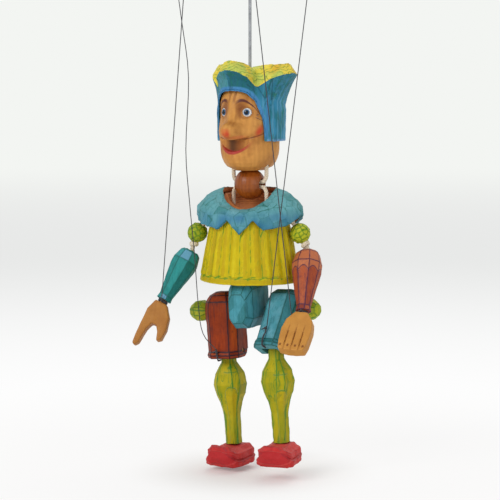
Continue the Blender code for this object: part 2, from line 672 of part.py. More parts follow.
def head(root):
    """Head block with its carved face, eyes and hanging eye, and the four-peaked hat."""
    yaw = frame("head_frame", root, (0, 0, 0), (0, 0, HEAD_YAW))
    columns = 36
    rows = 20
    rings = []
    for row in range(rows + 1):
        z = blend(HEAD_BOTTOM, HEAD_TOP, row / rows)
        rings.append([face_point(2 * math.pi * i / columns, z) for i in range(columns)])
    block = place("head", loft(rings, "head"), yaw, WOOD)

    dish = sphere(NECK_BALL_RADIUS + HEAD_DISH_CLEARANCE, (0, 0, NECK_HEIGHT), 20, 12)
    cut(block, dish)
    mouth = slab("mouth", mouth_outline(), 2 * MOUTH_DEPTH, 0.0)
    lip = face_point(0.0, MOUTH_HEIGHT - 0.5 * MOUTH_DROP)
    mouth.transform(Matrix.Translation((0, lip.y, 0)))
    cut(block, mouth)
    for side in (-1.0, 1.0):
        x = side * NECK_CORD_SPREAD
        socket_top = NECK_HEIGHT + NECK_CORD_REACH + SEAT_GAP
        cut(block, cylinder(NECK_CORD_RADIUS + BORE_CLEARANCE, (x, 0, NECK_HEIGHT), (x, 0, socket_top), 10))

    eye_radius = EYE_DIAMETER / 2
    angle = math.asin(EYE_SPREAD / head_half_sizes(EYE_HEIGHT)[0])
    for name, side in (("eye_right", -1.0), ("eye_left", 1.0)):
        surface = face_point(side * angle, EYE_HEIGHT)
        outward = Vector((0.55 * surface.x, surface.y, 0.0)).normalized()
        centre = surface + outward * (EYE_PROUD - eye_radius)
        ball = place(name, sphere(eye_radius, (0, 0, 0), 14, 9), yaw, EYE_WHITE, roughness=0.15)
        ball.location = centre
        cut(block, sphere(eye_radius + SEAT_GAP, centre, 14, 9))

    hat(yaw, block)


def hat_angles():
    """Angles round the hat from straight ahead, closer together at the face opening."""
    edge = HAT_FACE_ANGLE
    step = 15
    ahead = [step * i for i in range(4)]
    behind = [step * i for i in range(5, 13)]
    half = ahead + [0.92 * edge, 0.97 * edge, edge] + behind
    return [math.radians(a) for a in half] + [math.radians(-a) for a in half[-2:0:-1]]


def hat_ring(angles, radius_of, height_of):
    """Ring of points about the head's axis."""
    ring = []
    for angle in angles:
        wide, deep = radius_of(angle)
        ring.append(Vector((wide * math.sin(angle), -deep * math.cos(angle), height_of(angle))))
    return ring


def hat(yaw, block):
    """Crown-like hat: four flared peaks, bevelled tops and flaps round the face."""
    angles = hat_angles()

    def peak(angle):
        return abs(math.cos(2.0 * angle)) ** 0.85

    def front(angle):
        return HAT_FRONT_RISE * max(0.0, math.cos(angle)) ** 4

    def low(angle):
        share = abs(angle) / math.radians(HAT_FACE_ANGLE)
        return HAT_FLAP + (HAT_BROW - HAT_FLAP) * math.sqrt(max(0.0, 1.0 - min(1.0, share) ** 3))

    def both(value):
        return lambda angle: (value(angle), value(angle))

    rim = blend(HAT_FLAP, HEAD_TOP, 0.35)
    inner_low = tuple(half + HAT_SEAT for half in head_half_sizes(rim))
    ceiling = HEAD_TOP + SEAT_GAP

    def outer(angle):
        behind = (math.degrees(abs(angle)) - HAT_FACE_ANGLE) / (120.0 - HAT_FACE_ANGLE)
        wall = blend(HAT_FRONT_WALL, HAT_WALL, min(1.0, max(0.0, behind)))
        return inner_low[0] + wall, inner_low[1] + wall

    def top_radius(angle):
        ahead = HAT_FRONT_PEAK if math.cos(angle) > 0.0 else HAT_BACK_PEAK
        aside = HAT_LEFT_PEAK if angle > 0.0 else HAT_RIGHT_PEAK
        return blend(HAT_VALLEY_RADIUS, blend(aside, ahead, math.cos(angle) ** 2), peak(angle))

    def top_height(angle):
        return blend(HAT_VALLEY_HEIGHT, HAT_PEAK_HEIGHT, peak(angle)) + front(angle)

    def ridge_height(angle):
        valley = HAT_VALLEY_HEIGHT + 1.7 * HAT_RIDGE_RISE
        return blend(valley, HAT_PEAK_HEIGHT + HAT_RIDGE_RISE, peak(angle)) + front(angle)

    def ridge_radius(angle):
        return top_radius(angle) - blend(HAT_VALLEY_BEVEL, HAT_PEAK_BEVEL, peak(angle))

    def waist(angle):
        wide, deep = outer(angle)
        flare = HAT_WAIST_FLARE * (top_radius(angle) - wide)
        return wide + flare, deep + flare

    def waist_height(angle):
        return blend(low(angle), top_height(angle), HAT_WAIST)

    rings = [
        hat_ring(angles, lambda a: (HAT_CROWN_RADIUS, HAT_CROWN_RADIUS), lambda a: HAT_CROWN),
        hat_ring(angles, both(ridge_radius), ridge_height),
        hat_ring(angles, both(top_radius), top_height),
        hat_ring(angles, waist, waist_height),
        hat_ring(angles, outer, low),
        hat_ring(angles, lambda a: inner_low, low),
        hat_ring(angles, lambda a: inner_low, lambda a: ceiling),
    ]
    shell = place("hat", loft(rings, "hat"), yaw, BLUE)
    ring_centre = HEAD_TOP + SEAT_GAP + HEAD_EYE_WIRE / 2 + HEAD_EYE_RADIUS
    turns = [math.radians(-90.0 + 24.0 * step) for step in range(15)]
    loop = [(HEAD_EYE_RADIUS * math.cos(a), 0, ring_centre + HEAD_EYE_RADIUS * math.sin(a)) for a in turns]
    shank_low = HEAD_TOP - HEAD_EYE_SHANK
    eye_route = [(0, 0, shank_low), (0, 0, HEAD_TOP - HEAD_EYE_WIRE)] + loop
    place("head_screw_eye", tube("head_screw_eye", eye_route, HEAD_EYE_WIRE / 2), yaw, STEEL,
          roughness=0.35, metallic=1.0)
    wire = HEAD_EYE_WIRE / 2
    cut(block, cylinder(wire + SEAT_GAP, (0, 0, shank_low - SEAT_GAP), (0, 0, HEAD_TOP + CUT_PAST), 10))
    well = max(HEAD_EYE_RADIUS + 2 * wire, ROD_DIAMETER / 2) + SEAT_GAP
    cut(shell, cylinder(well, (0, 0, HEAD_TOP - CUT_PAST), (0, 0, HAT_PEAK_HEIGHT), 16))


# Neck

def neck(root):
    """Loose wooden ball threaded on two cord loops, one to the head and one to the torso."""
    centre = frame("neck_frame", root, (0, 0, NECK_HEIGHT), (0, 0, HEAD_YAW))
    ball = place("neck_ball", sphere(NECK_BALL_RADIUS, (0, 0, 0), 20, 12), centre, RUST, roughness=0.35)
    reach = NECK_BALL_RADIUS + CUT_PAST
    cut(ball, cylinder(NECK_HOLE_RADIUS, (-reach, 0, 0), (reach, 0, 0)))
    for name, way in (("neck_cord_upper", 1.0), ("neck_cord_lower", -1.0)):
        run = way * NECK_CORD_OFFSET
        mouth = math.sqrt(NECK_BALL_RADIUS ** 2 - NECK_HOLE_RADIUS ** 2)
        r = NECK_CORD_RADIUS
        half = [(0.0, run), (mouth - 0.45 * r, run), (mouth + 0.9 * r, run + way * 0.33 * r),
                (NECK_CORD_SPREAD - 0.55 * r, run + way * 1.45 * r),
                (NECK_CORD_SPREAD, run + way * 3.45 * r), (NECK_CORD_SPREAD, way * NECK_CORD_REACH)]
        route = [(-x, 0, z) for x, z in half[:0:-1]] + [(x, 0, z) for x, z in half]
        place(name, tube(name, route, NECK_CORD_RADIUS), centre, COTTON, roughness=0.9)
    return centre


# Collar and tunic

COLLAR_ANGLES = [0, 7, 14.5, 21, 27, 40, 54, 66, 78, 90, 102, 114, 126, 140, 153, 159, 165.5, 173, 180]


def collar_edge(angle):
    """Height of the collar's zigzag lower edge, the same in front and behind."""
    from_axis = min(angle, 180.0 - angle)
    stops = [(0, COLLAR_POINT_FRONT), (14.5, COLLAR_VALLEY), (27, COLLAR_POINT_SIDE),
             (54, COLLAR_SHOULDER), (90, COLLAR_TIP)]
    for (a0, z0), (a1, z1) in zip(stops, stops[1:]):
        if from_axis <= a1:
            return blend(z0, z1, (from_axis - a0) / (a1 - a0))
    return COLLAR_TIP


def collar_neckline(angle):
    """Height of the neckline, scooped in front."""
    ahead = max(0.0, math.cos(math.radians(angle)))
    return blend(COLLAR_NECK_BACK, COLLAR_NECK_FRONT, ahead ** 1.3)


def collar_section(angle):
    """Corner points of the collar's wall, going round it, as (share of width, of depth, z)."""
    neck_z = collar_neckline(angle)
    edge_z = collar_edge(angle)
    mid_wide = blend(COLLAR_NECK_WIDTH, COLLAR_HALF_WIDTH, 0.56)
    mid_deep = blend(COLLAR_NECK_DEPTH, COLLAR_HALF_DEPTH, 0.56)
    aside = abs(math.sin(math.radians(angle)))
    rim_z = blend(COLLAR_RIM_FRONT, COLLAR_RIM_SIDE, aside ** 2)
    mid_z = blend(neck_z, rim_z, 0.5) + COLLAR_CROWN * blend(0.35, 1.0, aside)
    wall = COLLAR_WALL
    rim_wide, rim_deep = COLLAR_HALF_WIDTH - COLLAR_RIM_INSET, COLLAR_HALF_DEPTH - COLLAR_RIM_INSET
    return [
        (COLLAR_NECK_WIDTH, COLLAR_NECK_DEPTH, neck_z),
        (mid_wide, mid_deep, mid_z),
        (rim_wide, rim_deep, rim_z),
        (COLLAR_HALF_WIDTH, COLLAR_HALF_DEPTH, edge_z),
        (COLLAR_HALF_WIDTH - wall, COLLAR_HALF_DEPTH - 0.6 * wall, edge_z),
        (rim_wide - wall, rim_deep - 0.6 * wall, rim_z - 0.6 * wall),
        (mid_wide - 0.5 * wall, mid_deep - wall, mid_z - wall),
        (COLLAR_NECK_WIDTH, COLLAR_NECK_DEPTH, neck_z - wall),
    ]


def collar_rings():
    """Rings of the collar, outside first, then back up its inside."""
    signed = COLLAR_ANGLES + [-a for a in COLLAR_ANGLES[-2:0:-1]]
    sections = [(math.radians(a), collar_section(abs(a))) for a in signed]
    rings = []
    for index in range(len(sections[0][1])):
        rings.append([Vector((s[index][0] * math.sin(a), -s[index][1] * math.cos(a), s[index][2]))
                      for a, s in sections])
    return rings


def tunic_half_sizes(z):
    """Half width and half depth of the bell at a height."""
    share = max(0.0, (z - TUNIC_HEM) / (TUNIC_TOP - TUNIC_HEM))
    curve = share ** 1.05
    return (blend(TUNIC_HEM_HALF_WIDTH, TUNIC_TOP_HALF_WIDTH, curve),
            blend(TUNIC_HEM_HALF_DEPTH, TUNIC_TOP_HALF_DEPTH, curve))


def tunic_rings():
    """Pleated bell from the hem up to the shoulders, which follow the collar's inside."""
    shape = [-1.0, 0.8, 0.8]
    per_pleat = len(shape)
    count = PLEAT_COUNT * per_pleat
    angles = [2 * math.pi * i / count for i in range(count)]
    band_top = TUNIC_HEM + TUNIC_BAND
    last = COLLAR_POINT_FRONT - PLEAT_TUCK
    levels = [
        (TUNIC_HEM, 0.985, 0.0), (TUNIC_HEM + 0.2 * TUNIC_BAND, 1.0, 0.0),
        (band_top - 0.17 * TUNIC_BAND, 1.0, 0.0), (band_top, 0.985, 0.3),
        (band_top + 0.25 * TUNIC_BAND, 0.995, 1.0), (blend(band_top, last, 0.5), 1.0, 1.0),
        (last, 1.0, 1.0),
    ]
    rings = []
    for z, swell, pleat in levels:
        wide, deep = tunic_half_sizes(z)
        ring = []
        for i, angle in enumerate(angles):
            fold = PLEAT_DEPTH * pleat * shape[i % per_pleat]
            fade = max(0.0, 1.0 - (z - TUNIC_HEM) / (3 * TUNIC_BAND))
            dip = TUNIC_HEM_DIP * fade * math.cos(angle) ** 2
            ring.append(Vector(((wide * swell + fold) * math.sin(angle),
                                -(deep * swell + fold) * math.cos(angle), z - dip)))
        rings.append(ring)
    for corner, pleat in ((4, 0.8), (5, 0.5), (6, 0.0), (7, 0.0)):
        ring = []
        for i, angle in enumerate(angles):
            side = math.degrees(min(angle, 2 * math.pi - angle))
            wide, deep, z = collar_section(side)[corner]
            bell_wide, bell_deep = tunic_half_sizes(z)
            fold = PLEAT_DEPTH * pleat * shape[i % per_pleat]
            wide = min(wide - COLLAR_SEAT, bell_wide + fold)
            deep = min(deep - COLLAR_SEAT, bell_deep + fold)
            drop = 0.7 * COLLAR_SEAT if corner == 4 else COLLAR_SEAT
            ring.append(Vector((wide * math.sin(angle), -deep * math.cos(angle), z - drop)))
        rings.append(ring)
    return rings


def torso(root, neck_frame):
    """Tunic block, hollow over the hips and dished at the neck, with its cape collar."""
    place("collar", loft(collar_rings(), "collar", closed=True), root, TEAL)
    block = place("tunic", loft(tunic_rings(), "tunic"), root, YELLOW)

    dish = sphere(NECK_DISH_RADIUS, (0, 0, NECK_DISH_BOTTOM + NECK_DISH_RADIUS), 20, 12)
    cut(block, dish)
    hollow = []
    turns = [2 * math.pi * i / 32 for i in range(32)]
    for z, inset in ((TUNIC_HEM - TUNIC_BAND, 0.78 * TUNIC_WALL), (TUNIC_HEM + TUNIC_BAND, TUNIC_WALL),
                     (TUNIC_HOLLOW, 1.8 * TUNIC_WALL)):
        wide = TUNIC_HEM_HALF_WIDTH - inset
        deep = TUNIC_HEM_HALF_DEPTH - inset
        hollow.append([Vector((wide * math.sin(a), -deep * math.cos(a), z)) for a in turns])
    cut(block, loft(hollow, "hollow"))
    to_neck = neck_frame.matrix_local
    for side in (-1.0, 1.0):
        bore = cylinder(NECK_CORD_RADIUS + BORE_CLEARANCE, (side * NECK_CORD_SPREAD, 0, 0),
                        (side * NECK_CORD_SPREAD, 0, -NECK_CORD_REACH - SEAT_GAP), 10)
        bore.transform(to_neck)
        cut(block, bore)
    waist_top = TUNIC_HOLLOW + WAIST_SEAT_DEPTH
    cut(block, cylinder(WAIST_CORD_RADIUS + SEAT_GAP, (PELVIS_X, PELVIS_Y, TUNIC_HOLLOW - CUT_PAST),
                        (PELVIS_X, PELVIS_Y, waist_top + SEAT_GAP), 14))
    return block


# Arms

def sleeve_profile(length, width):
    """Faceted sleeve from just above its pivot down to the wrist, as (radius, z)."""
    wrist = WRIST_WIDTH / 2
    top = SLEEVE_RISE
    return [(0.0, top), (0.20 * width, top), (0.39 * width, top - 0.07 * length),
            (0.50 * width, top - 0.24 * length), (0.485 * width, top - 0.38 * length),
            (blend(wrist, 0.5 * width, 0.42), top - 0.66 * length), (0.96 * wrist, top - 0.92 * length),
            (1.05 * wrist, top - length), (0.0, top - length)]


def finger_mitt(length, width):
    """Flat hand outline from the wrist down: palm and fused fingers."""
    w = width / 2
    neck = 0.41 * WRIST_WIDTH
    half = [(neck, 0.0), (0.86 * w, -0.20 * length), (w, -0.45 * length), (0.95 * w, -0.80 * length),
            (0.84 * w, -0.97 * length), (0.30 * w, -length)]
    return half + [(-x, z) for x, z in half[::-1]]


def pinching_hand(length, width):
    """Flat hand outline of fingers and thumb held apart, like a letter C."""
    w = width / 2
    neck = 0.41 * WRIST_WIDTH
    return [(neck, 0.0), (1.31 * w, -0.20 * length), (1.65 * w, -0.45 * length), (1.66 * w, -0.66 * length),
            (1.31 * w, -0.73 * length), (1.00 * w, -0.56 * length), (0.62 * w, -0.45 * length),
            (0.20 * w, -0.46 * length), (0.00, -0.60 * length), (-0.03 * w, -0.92 * length),
            (-0.28 * w, -length), (-0.50 * w, -0.98 * length), (-0.64 * w, -0.80 * length),
            (-0.74 * w, -0.50 * length), (-0.84 * w, -0.23 * length), (-neck, 0.0)]


def arm(root, block, side):
    """Shoulder ball on its knotted cord, faceted sleeve, peg, thread ring and hand."""
    right = side == "right"
    x = RIGHT_SHOULDER_X if right else LEFT_SHOULDER_X
    z = RIGHT_SHOULDER_Z if right else LEFT_SHOULDER_Z
    lean = RIGHT_CORD_LEAN if right else LEFT_CORD_LEAN
    drop_lean = RIGHT_DROP_LEAN if right else LEFT_DROP_LEAN
    shoulder = frame(side + "_shoulder", root, (x, -SHOULDER_FORWARD, z), (0, lean, 0))
    centre = Vector((0, 0, -SHOULDER_ROOT_LENGTH))
    bend = math.radians(drop_lean - lean)
    down = Vector((-math.sin(bend), 0, -math.cos(bend)))
    ball = place("shoulder_ball_" + side, sphere(SHOULDER_BALL_RADIUS, centre, 10, 7), shoulder, GREEN)
    reach = SHOULDER_BALL_RADIUS + CUT_PAST
    bore = SHOULDER_CORD_RADIUS + BORE_CLEARANCE
    up = Vector((0, 0, 1))
    cut(ball, cylinder(bore, centre - 0.83 * bore * down, centre + reach * down, 12))
    cut(ball, cylinder(bore, centre - 0.54 * bore * up, centre + reach * up, 12))
    knot = SHOULDER_KNOT_RADIUS / SHOULDER_CORD_RADIUS
    knot_top = SHOULDER_BALL_RADIUS + SEAT_GAP
    knot_low = knot_top + SHOULDER_KNOT_LENGTH
    stops = [knot_top, knot_top + 0.3 * SHOULDER_KNOT_LENGTH, knot_low - 0.3 * SHOULDER_KNOT_LENGTH,
             knot_low, SHOULDER_DROP_LENGTH]
    route = [Vector((0, 0, 0)), centre] + [centre + stop * down for stop in stops]
    cord = tube("shoulder_cord_" + side, route, SHOULDER_CORD_RADIUS, {3: knot, 4: knot})
    place("shoulder_cord_" + side, cord, shoulder, COTTON, roughness=0.9)
    dish = SHOULDER_DISH_RADIUS
    clear = -0.5 * SHOULDER_ROOT_LENGTH
    socket = turned([(0.0, dish), (0.72 * dish, 0.70 * dish), (dish, 0.0), (bore, -0.8 * dish),
                     (bore, clear), (0.0, clear)], 14, "socket")
    socket.transform(shoulder.matrix_local)
    cut(block, socket)

    elbow = shoulder.matrix_local @ route[-1]
    swing = RIGHT_ARM_SWING if right else LEFT_ARM_SWING
    out = RIGHT_ARM_LEAN if right else LEFT_ARM_LEAN
    hang = frame(side + "_arm", root, elbow, (swing, out, 0))
    length = RIGHT_SLEEVE_LENGTH if right else LEFT_SLEEVE_LENGTH
    width = RIGHT_SLEEVE_WIDTH if right else LEFT_SLEEVE_WIDTH
    profile = sleeve_profile(length, width)
    sleeve = place("sleeve_" + side, turned(profile, 8, "sleeve", SLEEVE_DEPTH_SHARE), hang,
                   TEAL if right else TERRACOTTA)
    throat = SHOULDER_CORD_RADIUS + 2 * SEAT_GAP
    flare = (SLEEVE_MOUTH - throat) / (SLEEVE_RISE + SLEEVE_MOUTH_DEPTH)
    funnel = [(0.0, SLEEVE_RISE + CUT_PAST), (SLEEVE_MOUTH + flare * CUT_PAST, SLEEVE_RISE + CUT_PAST),
              (throat, -SLEEVE_MOUTH_DEPTH), (0.0, -SLEEVE_MOUTH_DEPTH)]
    cut(sleeve, turned(funnel, 16, "funnel"))
    wrist = profile[-1][1]

    hand_frame = frame(side + "_hand_frame", hang, (0, 0, wrist - WRIST_GROOVE),
                       (RIGHT_HAND_TILT, 0, 0) if right else (LEFT_HAND_TILT, LEFT_HAND_LEAN, 0))
    hand_length = RIGHT_HAND_LENGTH if right else LEFT_HAND_LENGTH
    hand_width = RIGHT_HAND_WIDTH if right else LEFT_HAND_WIDTH
    outline = (pinching_hand if right else finger_mitt)(hand_length, hand_width)
    hand = place("hand_" + side, slab("hand", outline, HAND_THICKNESS, HAND_ROUNDING), hand_frame, PALE_WOOD)
    pitch = hand_width / 4
    for line in () if right else (-1, 0, 1):
        groove_x = line * pitch
        back = -HAND_THICKNESS / 2
        cut(hand, cylinder(FINGER_GROOVE, (groove_x, back, -0.52 * hand_length),
                           (groove_x, back, -1.1 * hand_length), 6))

    half_peg = WRIST_PEG_LENGTH / 2
    middle = wrist - WRIST_GROOVE / 2
    peg = cylinder(WRIST_PEG_RADIUS, (0, 0, middle + half_peg), (0, 0, middle - half_peg), 12)
    place("wrist_peg_" + side, peg, hang, PALE_WOOD)
    bore = WRIST_PEG_RADIUS + SEAT_GAP
    cut(sleeve, cylinder(bore, (0, 0, middle), (0, 0, middle + half_peg + SEAT_GAP), 12))
    peg_hole = cylinder(bore, (0, 0, wrist), (0, 0, middle - half_peg - SEAT_GAP), 12)
    peg_hole.transform(hand_frame.matrix_local.inverted())
    cut(hand, peg_hole)
    turns = [2 * math.pi * i / 16 for i in range(15)]
    ring = [(WRIST_RING_RADIUS * math.sin(a), -WRIST_RING_RADIUS * math.cos(a), middle) for a in turns]
    loop = tube("wrist_loop_" + side, ring, LOOP_RADIUS, {0: WRIST_KNOT_RADIUS / LOOP_RADIUS})
    place("wrist_loop_" + side, loop, hang, THREAD_GREY, roughness=0.8)
    knot_front = WRIST_RING_RADIUS + WRIST_KNOT_RADIUS + THREAD_GAP + THREAD_RADIUS
    return hang.matrix_local @ Vector((0, -knot_front, middle - LOOP_RADIUS))


# Pelvis and legs

def pelvis(root):
    """Faceted hip block with the cord that carries both thighs and its end knobs."""
    hips = frame("pelvis_frame", root, (PELVIS_X, PELVIS_Y, HIP_HEIGHT), (0, PELVIS_ROLL, PELVIS_YAW))
    front = PELVIS_FRONT
    stations = [(-front, 0.70, 0.62, 0.55), (-0.735 * front, 1.0, 1.0, 0.95), (-0.12 * front, 1.0, 1.0, 1.0),
                (0.54 * PELVIS_BACK, 1.0, 0.92, 1.0), (PELVIS_BACK, 0.78, 0.66, 0.88)]
    rings = []
    for y, wide, low, high in stations:
        half = PELVIS_HALF_WIDTH * wide
        top = PELVIS_TOP * high
        bottom = -PELVIS_BOTTOM * low
        middle = (top + bottom) / 2
        section = octagon(half, (top - bottom) / 2, 0.0, 0.40)
        rings.append([Vector((p.x, y, middle + p.y)) for p in section])
    hip_block = place("pelvis", loft(rings, "pelvis"), hips, TEAL)
    bore = HIP_CORD_RADIUS + BORE_CLEARANCE
    past = PELVIS_HALF_WIDTH + CUT_PAST
    cut(hip_block, cylinder(bore, (-past, 0, 0), (past, 0, 0), 12))

    upright = hips.matrix_local.inverted()
    cord_low = HIP_HEIGHT + PELVIS_TOP - WAIST_SEAT_DEPTH
    cord_high = TUNIC_HOLLOW + WAIST_SEAT_DEPTH
    waist = Vector((PELVIS_X, PELVIS_Y, 0))
    cord = cylinder(WAIST_CORD_RADIUS, (*waist.xy, cord_low), (*waist.xy, cord_high), 12)
    place("waist_cord", cord, root, COTTON, roughness=0.9)
    socket = cylinder(WAIST_CORD_RADIUS + BORE_CLEARANCE, (*waist.xy, cord_low - SEAT_GAP),
                      (*waist.xy, TUNIC_HOLLOW), 12)
    socket.transform(upright)
    cut(hip_block, socket)
    return hips


def hip_frames(hips):
    """Frames of both hips, each with its X axis along the cord through its thigh."""
    inner = PELVIS_HALF_WIDTH + HIP_SIDE_PLAY
    right = frame("right_hip", hips, (-inner, 0, 0), (RIGHT_HIP_SWING, 0, 0))
    left = frame("left_hip", hips, (inner + LEFT_HIP_PLAY, 0, 0), (LEFT_HIP_SWING, 0, LEFT_HIP_YAW))
    return right, left


def hip_cord(hips):
    """Cotton cord through both thighs and the pelvis, bent where the left thigh turns in."""
    inner = PELVIS_HALF_WIDTH + HIP_SIDE_PLAY
    outer = THIGH_WIDTH + HIP_SIDE_PLAY + 0.5 * KNOB_LENGTH
    yaw = math.radians(LEFT_HIP_YAW)
    start = Vector((inner + LEFT_HIP_PLAY, 0, 0))
    way = Vector((math.cos(yaw), math.sin(yaw), 0))
    r = HIP_CORD_RADIUS
    route = [Vector((-inner - outer, 0, 0)), Vector((-inner, 0, 0)),
             Vector((PELVIS_HALF_WIDTH + 0.2 * r, 0, 0)), start - r * way - Vector((0, 0.1 * r, 0)),
             start + 0.5 * r * way, start + outer * way]
    place("hip_cord", tube("hip_cord", route, HIP_CORD_RADIUS), hips, COTTON, roughness=0.9)
    past_thigh = THIGH_WIDTH + HIP_SIDE_PLAY
    for name, at, turn in (("hip_knob_right", Vector((-inner - past_thigh, 0, 0)), 180.0),
                           ("hip_knob_left", start + past_thigh * way, LEFT_HIP_YAW)):
        seat = frame(name + "_frame", hips, at, (0, 0, turn))
        full = KNOB_RADIUS
        profile = [(0.0, 0.0), (0.62 * full, 0.0), (full, -0.30 * KNOB_LENGTH),
                   (0.96 * full, -0.62 * KNOB_LENGTH), (0.55 * full, -0.95 * KNOB_LENGTH),
                   (0.0, -KNOB_LENGTH)]
        solid = turned(profile, 8, name)
        solid.transform(Matrix.Rotation(math.radians(-90.0), 4, "Y"))
        knob = place(name, solid, seat, GREEN)
        hole_end = 0.5 * KNOB_LENGTH + SEAT_GAP
        cut(knob, cylinder(HIP_CORD_RADIUS + SEAT_GAP, (-CUT_PAST, 0, 0), (hole_end, 0, 0), 12))


def thigh(side, hip, colour):
    """Faceted thigh with a domed top, a flared knee rim, a slot and an open back for the knee."""
    middle = (-1.0 if side == "right" else 1.0) * THIGH_WIDTH / 2
    wide, deep = THIGH_WIDTH / 2, THIGH_DEPTH / 2
    rim = THIGH_RIM
    sole = -THIGH_BOTTOM
    levels = [(sole, -0.66 * rim, 0.0), (sole + THIGH_RIM_HEIGHT, 0.0, rim),
              (sole + 2 * THIGH_RIM_HEIGHT, -0.83 * rim, 0.0), (0.35 * sole, -0.66 * rim, -0.33 * rim),
              (0.0, 0.0, 0.0), (0.52 * THIGH_TOP, -0.06 * wide, -0.06 * deep),
              (0.84 * THIGH_TOP, -0.26 * wide, -0.30 * deep), (THIGH_TOP, -0.56 * wide, -0.64 * deep)]
    rings = []
    for z, dx, dy in levels:
        rings.append([p + Vector((middle, 0, 0)) for p in octagon(wide + dx, deep + dy, z, 0.40)])
    name = "thigh_" + side
    solid = place(name, loft(rings, name), hip, colour)
    bore = HIP_CORD_RADIUS + BORE_CLEARANCE
    reach = THIGH_WIDTH / 2 + CUT_PAST
    cut(solid, cylinder(bore, (middle - reach, 0, 0), (middle + reach, 0, 0), 14))
    slot_half = KNEE_TONGUE_WIDTH / 2 + SLOT_CLEARANCE
    slot_top = -KNEE_DROP + KNEE_TONGUE_RADIUS + KNEE_SLOT_ROOM
    slot_front = -KNEE_TONGUE_RADIUS - KNEE_SLOT_ROOM
    slot = box((2 * slot_half, 2 * THIGH_DEPTH, 2 * THIGH_BOTTOM),
               (middle, slot_front + THIGH_DEPTH, slot_top - THIGH_BOTTOM))
    cut(solid, slot)
    size = 2 * THIGH_DEPTH
    back = box((2 * THIGH_WIDTH, size, size), (0, size / 2, -size / 2))
    slope = Matrix.Rotation(math.radians(45.0), 4, "X")
    back.transform(Matrix.Translation((middle, KNEE_RELIEF, sole)) @ slope)
    cut(solid, back)
    pin_half = THIGH_WIDTH / 2 - KNEE_PIN_INSET
    ends = [(middle - pin_half, 0, -KNEE_DROP), (middle + pin_half, 0, -KNEE_DROP)]
    place("knee_pin_" + side, cylinder(KNEE_PIN_RADIUS, *ends, 12), hip, STEEL, roughness=0.35, metallic=1.0)
    hole = [(middle - reach, 0, -KNEE_DROP), (middle + reach, 0, -KNEE_DROP)]
    cut(solid, cylinder(KNEE_PIN_RADIUS + SEAT_GAP, *hole, 12))
    return middle


def knee_loop(side, hip, middle):
    """Thread loop on the front of a thigh: a knot, a run down the face and a turn under the rim."""
    r = LOOP_RADIUS
    front = -THIGH_DEPTH / 2 - r - 2 * SEAT_GAP
    over_rim = front - THIGH_RIM
    knot_front = front - 1.33 * r
    x = middle - (RIGHT_LOOP_SHIFT if side == "right" else LEFT_LOOP_SHIFT)
    knot_z = -THIGH_BOTTOM + (RIGHT_KNOT_RISE if side == "right" else LEFT_KNOT_RISE)
    under = -THIGH_BOTTOM - r - SEAT_GAP
    route = [(x, knot_front, knot_z + 1.6 * r), (x, knot_front, knot_z), (x, front, knot_z - 3.6 * r),
             (x, over_rim, -THIGH_BOTTOM + 8.3 * r), (x + r, over_rim, -THIGH_BOTTOM + 1.6 * r),
             (x + 1.3 * r, over_rim + r, under), (x + 1.3 * r, over_rim + 4 * r, under),
             (x + 1.3 * r, over_rim + 8.3 * r, under)]
    loop = tube("knee_loop", route, r, {1: THREAD_KNOT_RADIUS / r})
    place("knee_loop_" + side, loop, hip, THREAD_GREY, roughness=0.8)
    top = Vector((x, knot_front, knot_z + 1.6 * r + THREAD_GAP))
    return hip.matrix_world @ top


def calf_rings():
    """Octagonal calf: knee tongue, bulge and tapered ankle, as (z, half width, half depth)."""
    tongue = KNEE_TONGUE_WIDTH / 2
    bulge = CALF_BULGE_WIDTH / 2
    ankle = CALF_ANKLE_WIDTH / 2
    r = KNEE_TONGUE_RADIUS
    return [(r, tongue, 0.30 * r), (0.80 * r, tongue, 0.62 * r), (0.40 * r, tongue, 0.92 * r),
            (0.0, tongue, r), (-CALF_NECK, tongue, 1.05 * r),
            (-0.24 * CALF_LENGTH, 0.89 * bulge, 0.78 * bulge), (-0.36 * CALF_LENGTH, bulge, 0.92 * bulge),
            (-0.47 * CALF_LENGTH, 0.87 * bulge, 0.84 * bulge),
            (-0.56 * CALF_LENGTH, 0.66 * bulge, 0.66 * bulge),
            (-0.68 * CALF_LENGTH, 1.04 * ankle, 1.04 * ankle), (-CALF_LENGTH, ankle, ankle)]


def shoe_sections():
    """Shoe along its length: (y, half width, height of the top, lift of the sole)."""
    toe = SHOE_HEEL_BACK - SHOE_LENGTH
    heel = SHOE_HEEL_BACK
    step = SHOE_LENGTH / 23
    w = SHOE_WIDTH / 2
    h = SHOE_HEIGHT
    return [(toe, 0.64 * w, 1.08 * h, 0.50 * h), (toe + step, 0.86 * w, 1.13 * h, 0.20 * h),
            (toe + 3 * step, 1.00 * w, 1.04 * h, 0.0), (toe + 7 * step, 1.00 * w, 0.98 * h, 0.0),
            (toe + 12 * step, 0.95 * w, 1.00 * h, 0.0), (heel - 4 * step, 0.90 * w, 1.05 * h, 0.0),
            (heel - step, 0.76 * w, 0.98 * h, 0.14 * h), (heel, 0.50 * w, 0.82 * h, 0.30 * h)]


def shoe(name, foot):
    """Carved clog: upturned toe, stepped sole and a heel notch."""
    rings = []
    for y, half, top, lift in shoe_sections():
        welt = blend(lift, top, 0.34)
        ring = [(0.80 * half, lift), (0.97 * half, blend(lift, top, 0.10)), (half, welt),
                (0.90 * half, welt + SHOE_WELT), (0.86 * half, blend(lift, top, 0.72)), (0.55 * half, top)]
        points = ring + [(-x, z) for x, z in ring[::-1]]
        rings.append([Vector((x, y, z)) for x, z in points])
    solid = place(name, loft(rings, name), foot, RED)
    notch_y = SHOE_HEEL_BACK - 0.30 * SHOE_LENGTH
    wedge = box((2 * SHOE_WIDTH, HEEL_NOTCH, HEEL_NOTCH), (0, 0, 0))
    wedge.transform(Matrix.Translation((0, notch_y, 0)) @ Matrix.Rotation(math.radians(45.0), 4, "X"))
    cut(solid, wedge)
    return solid


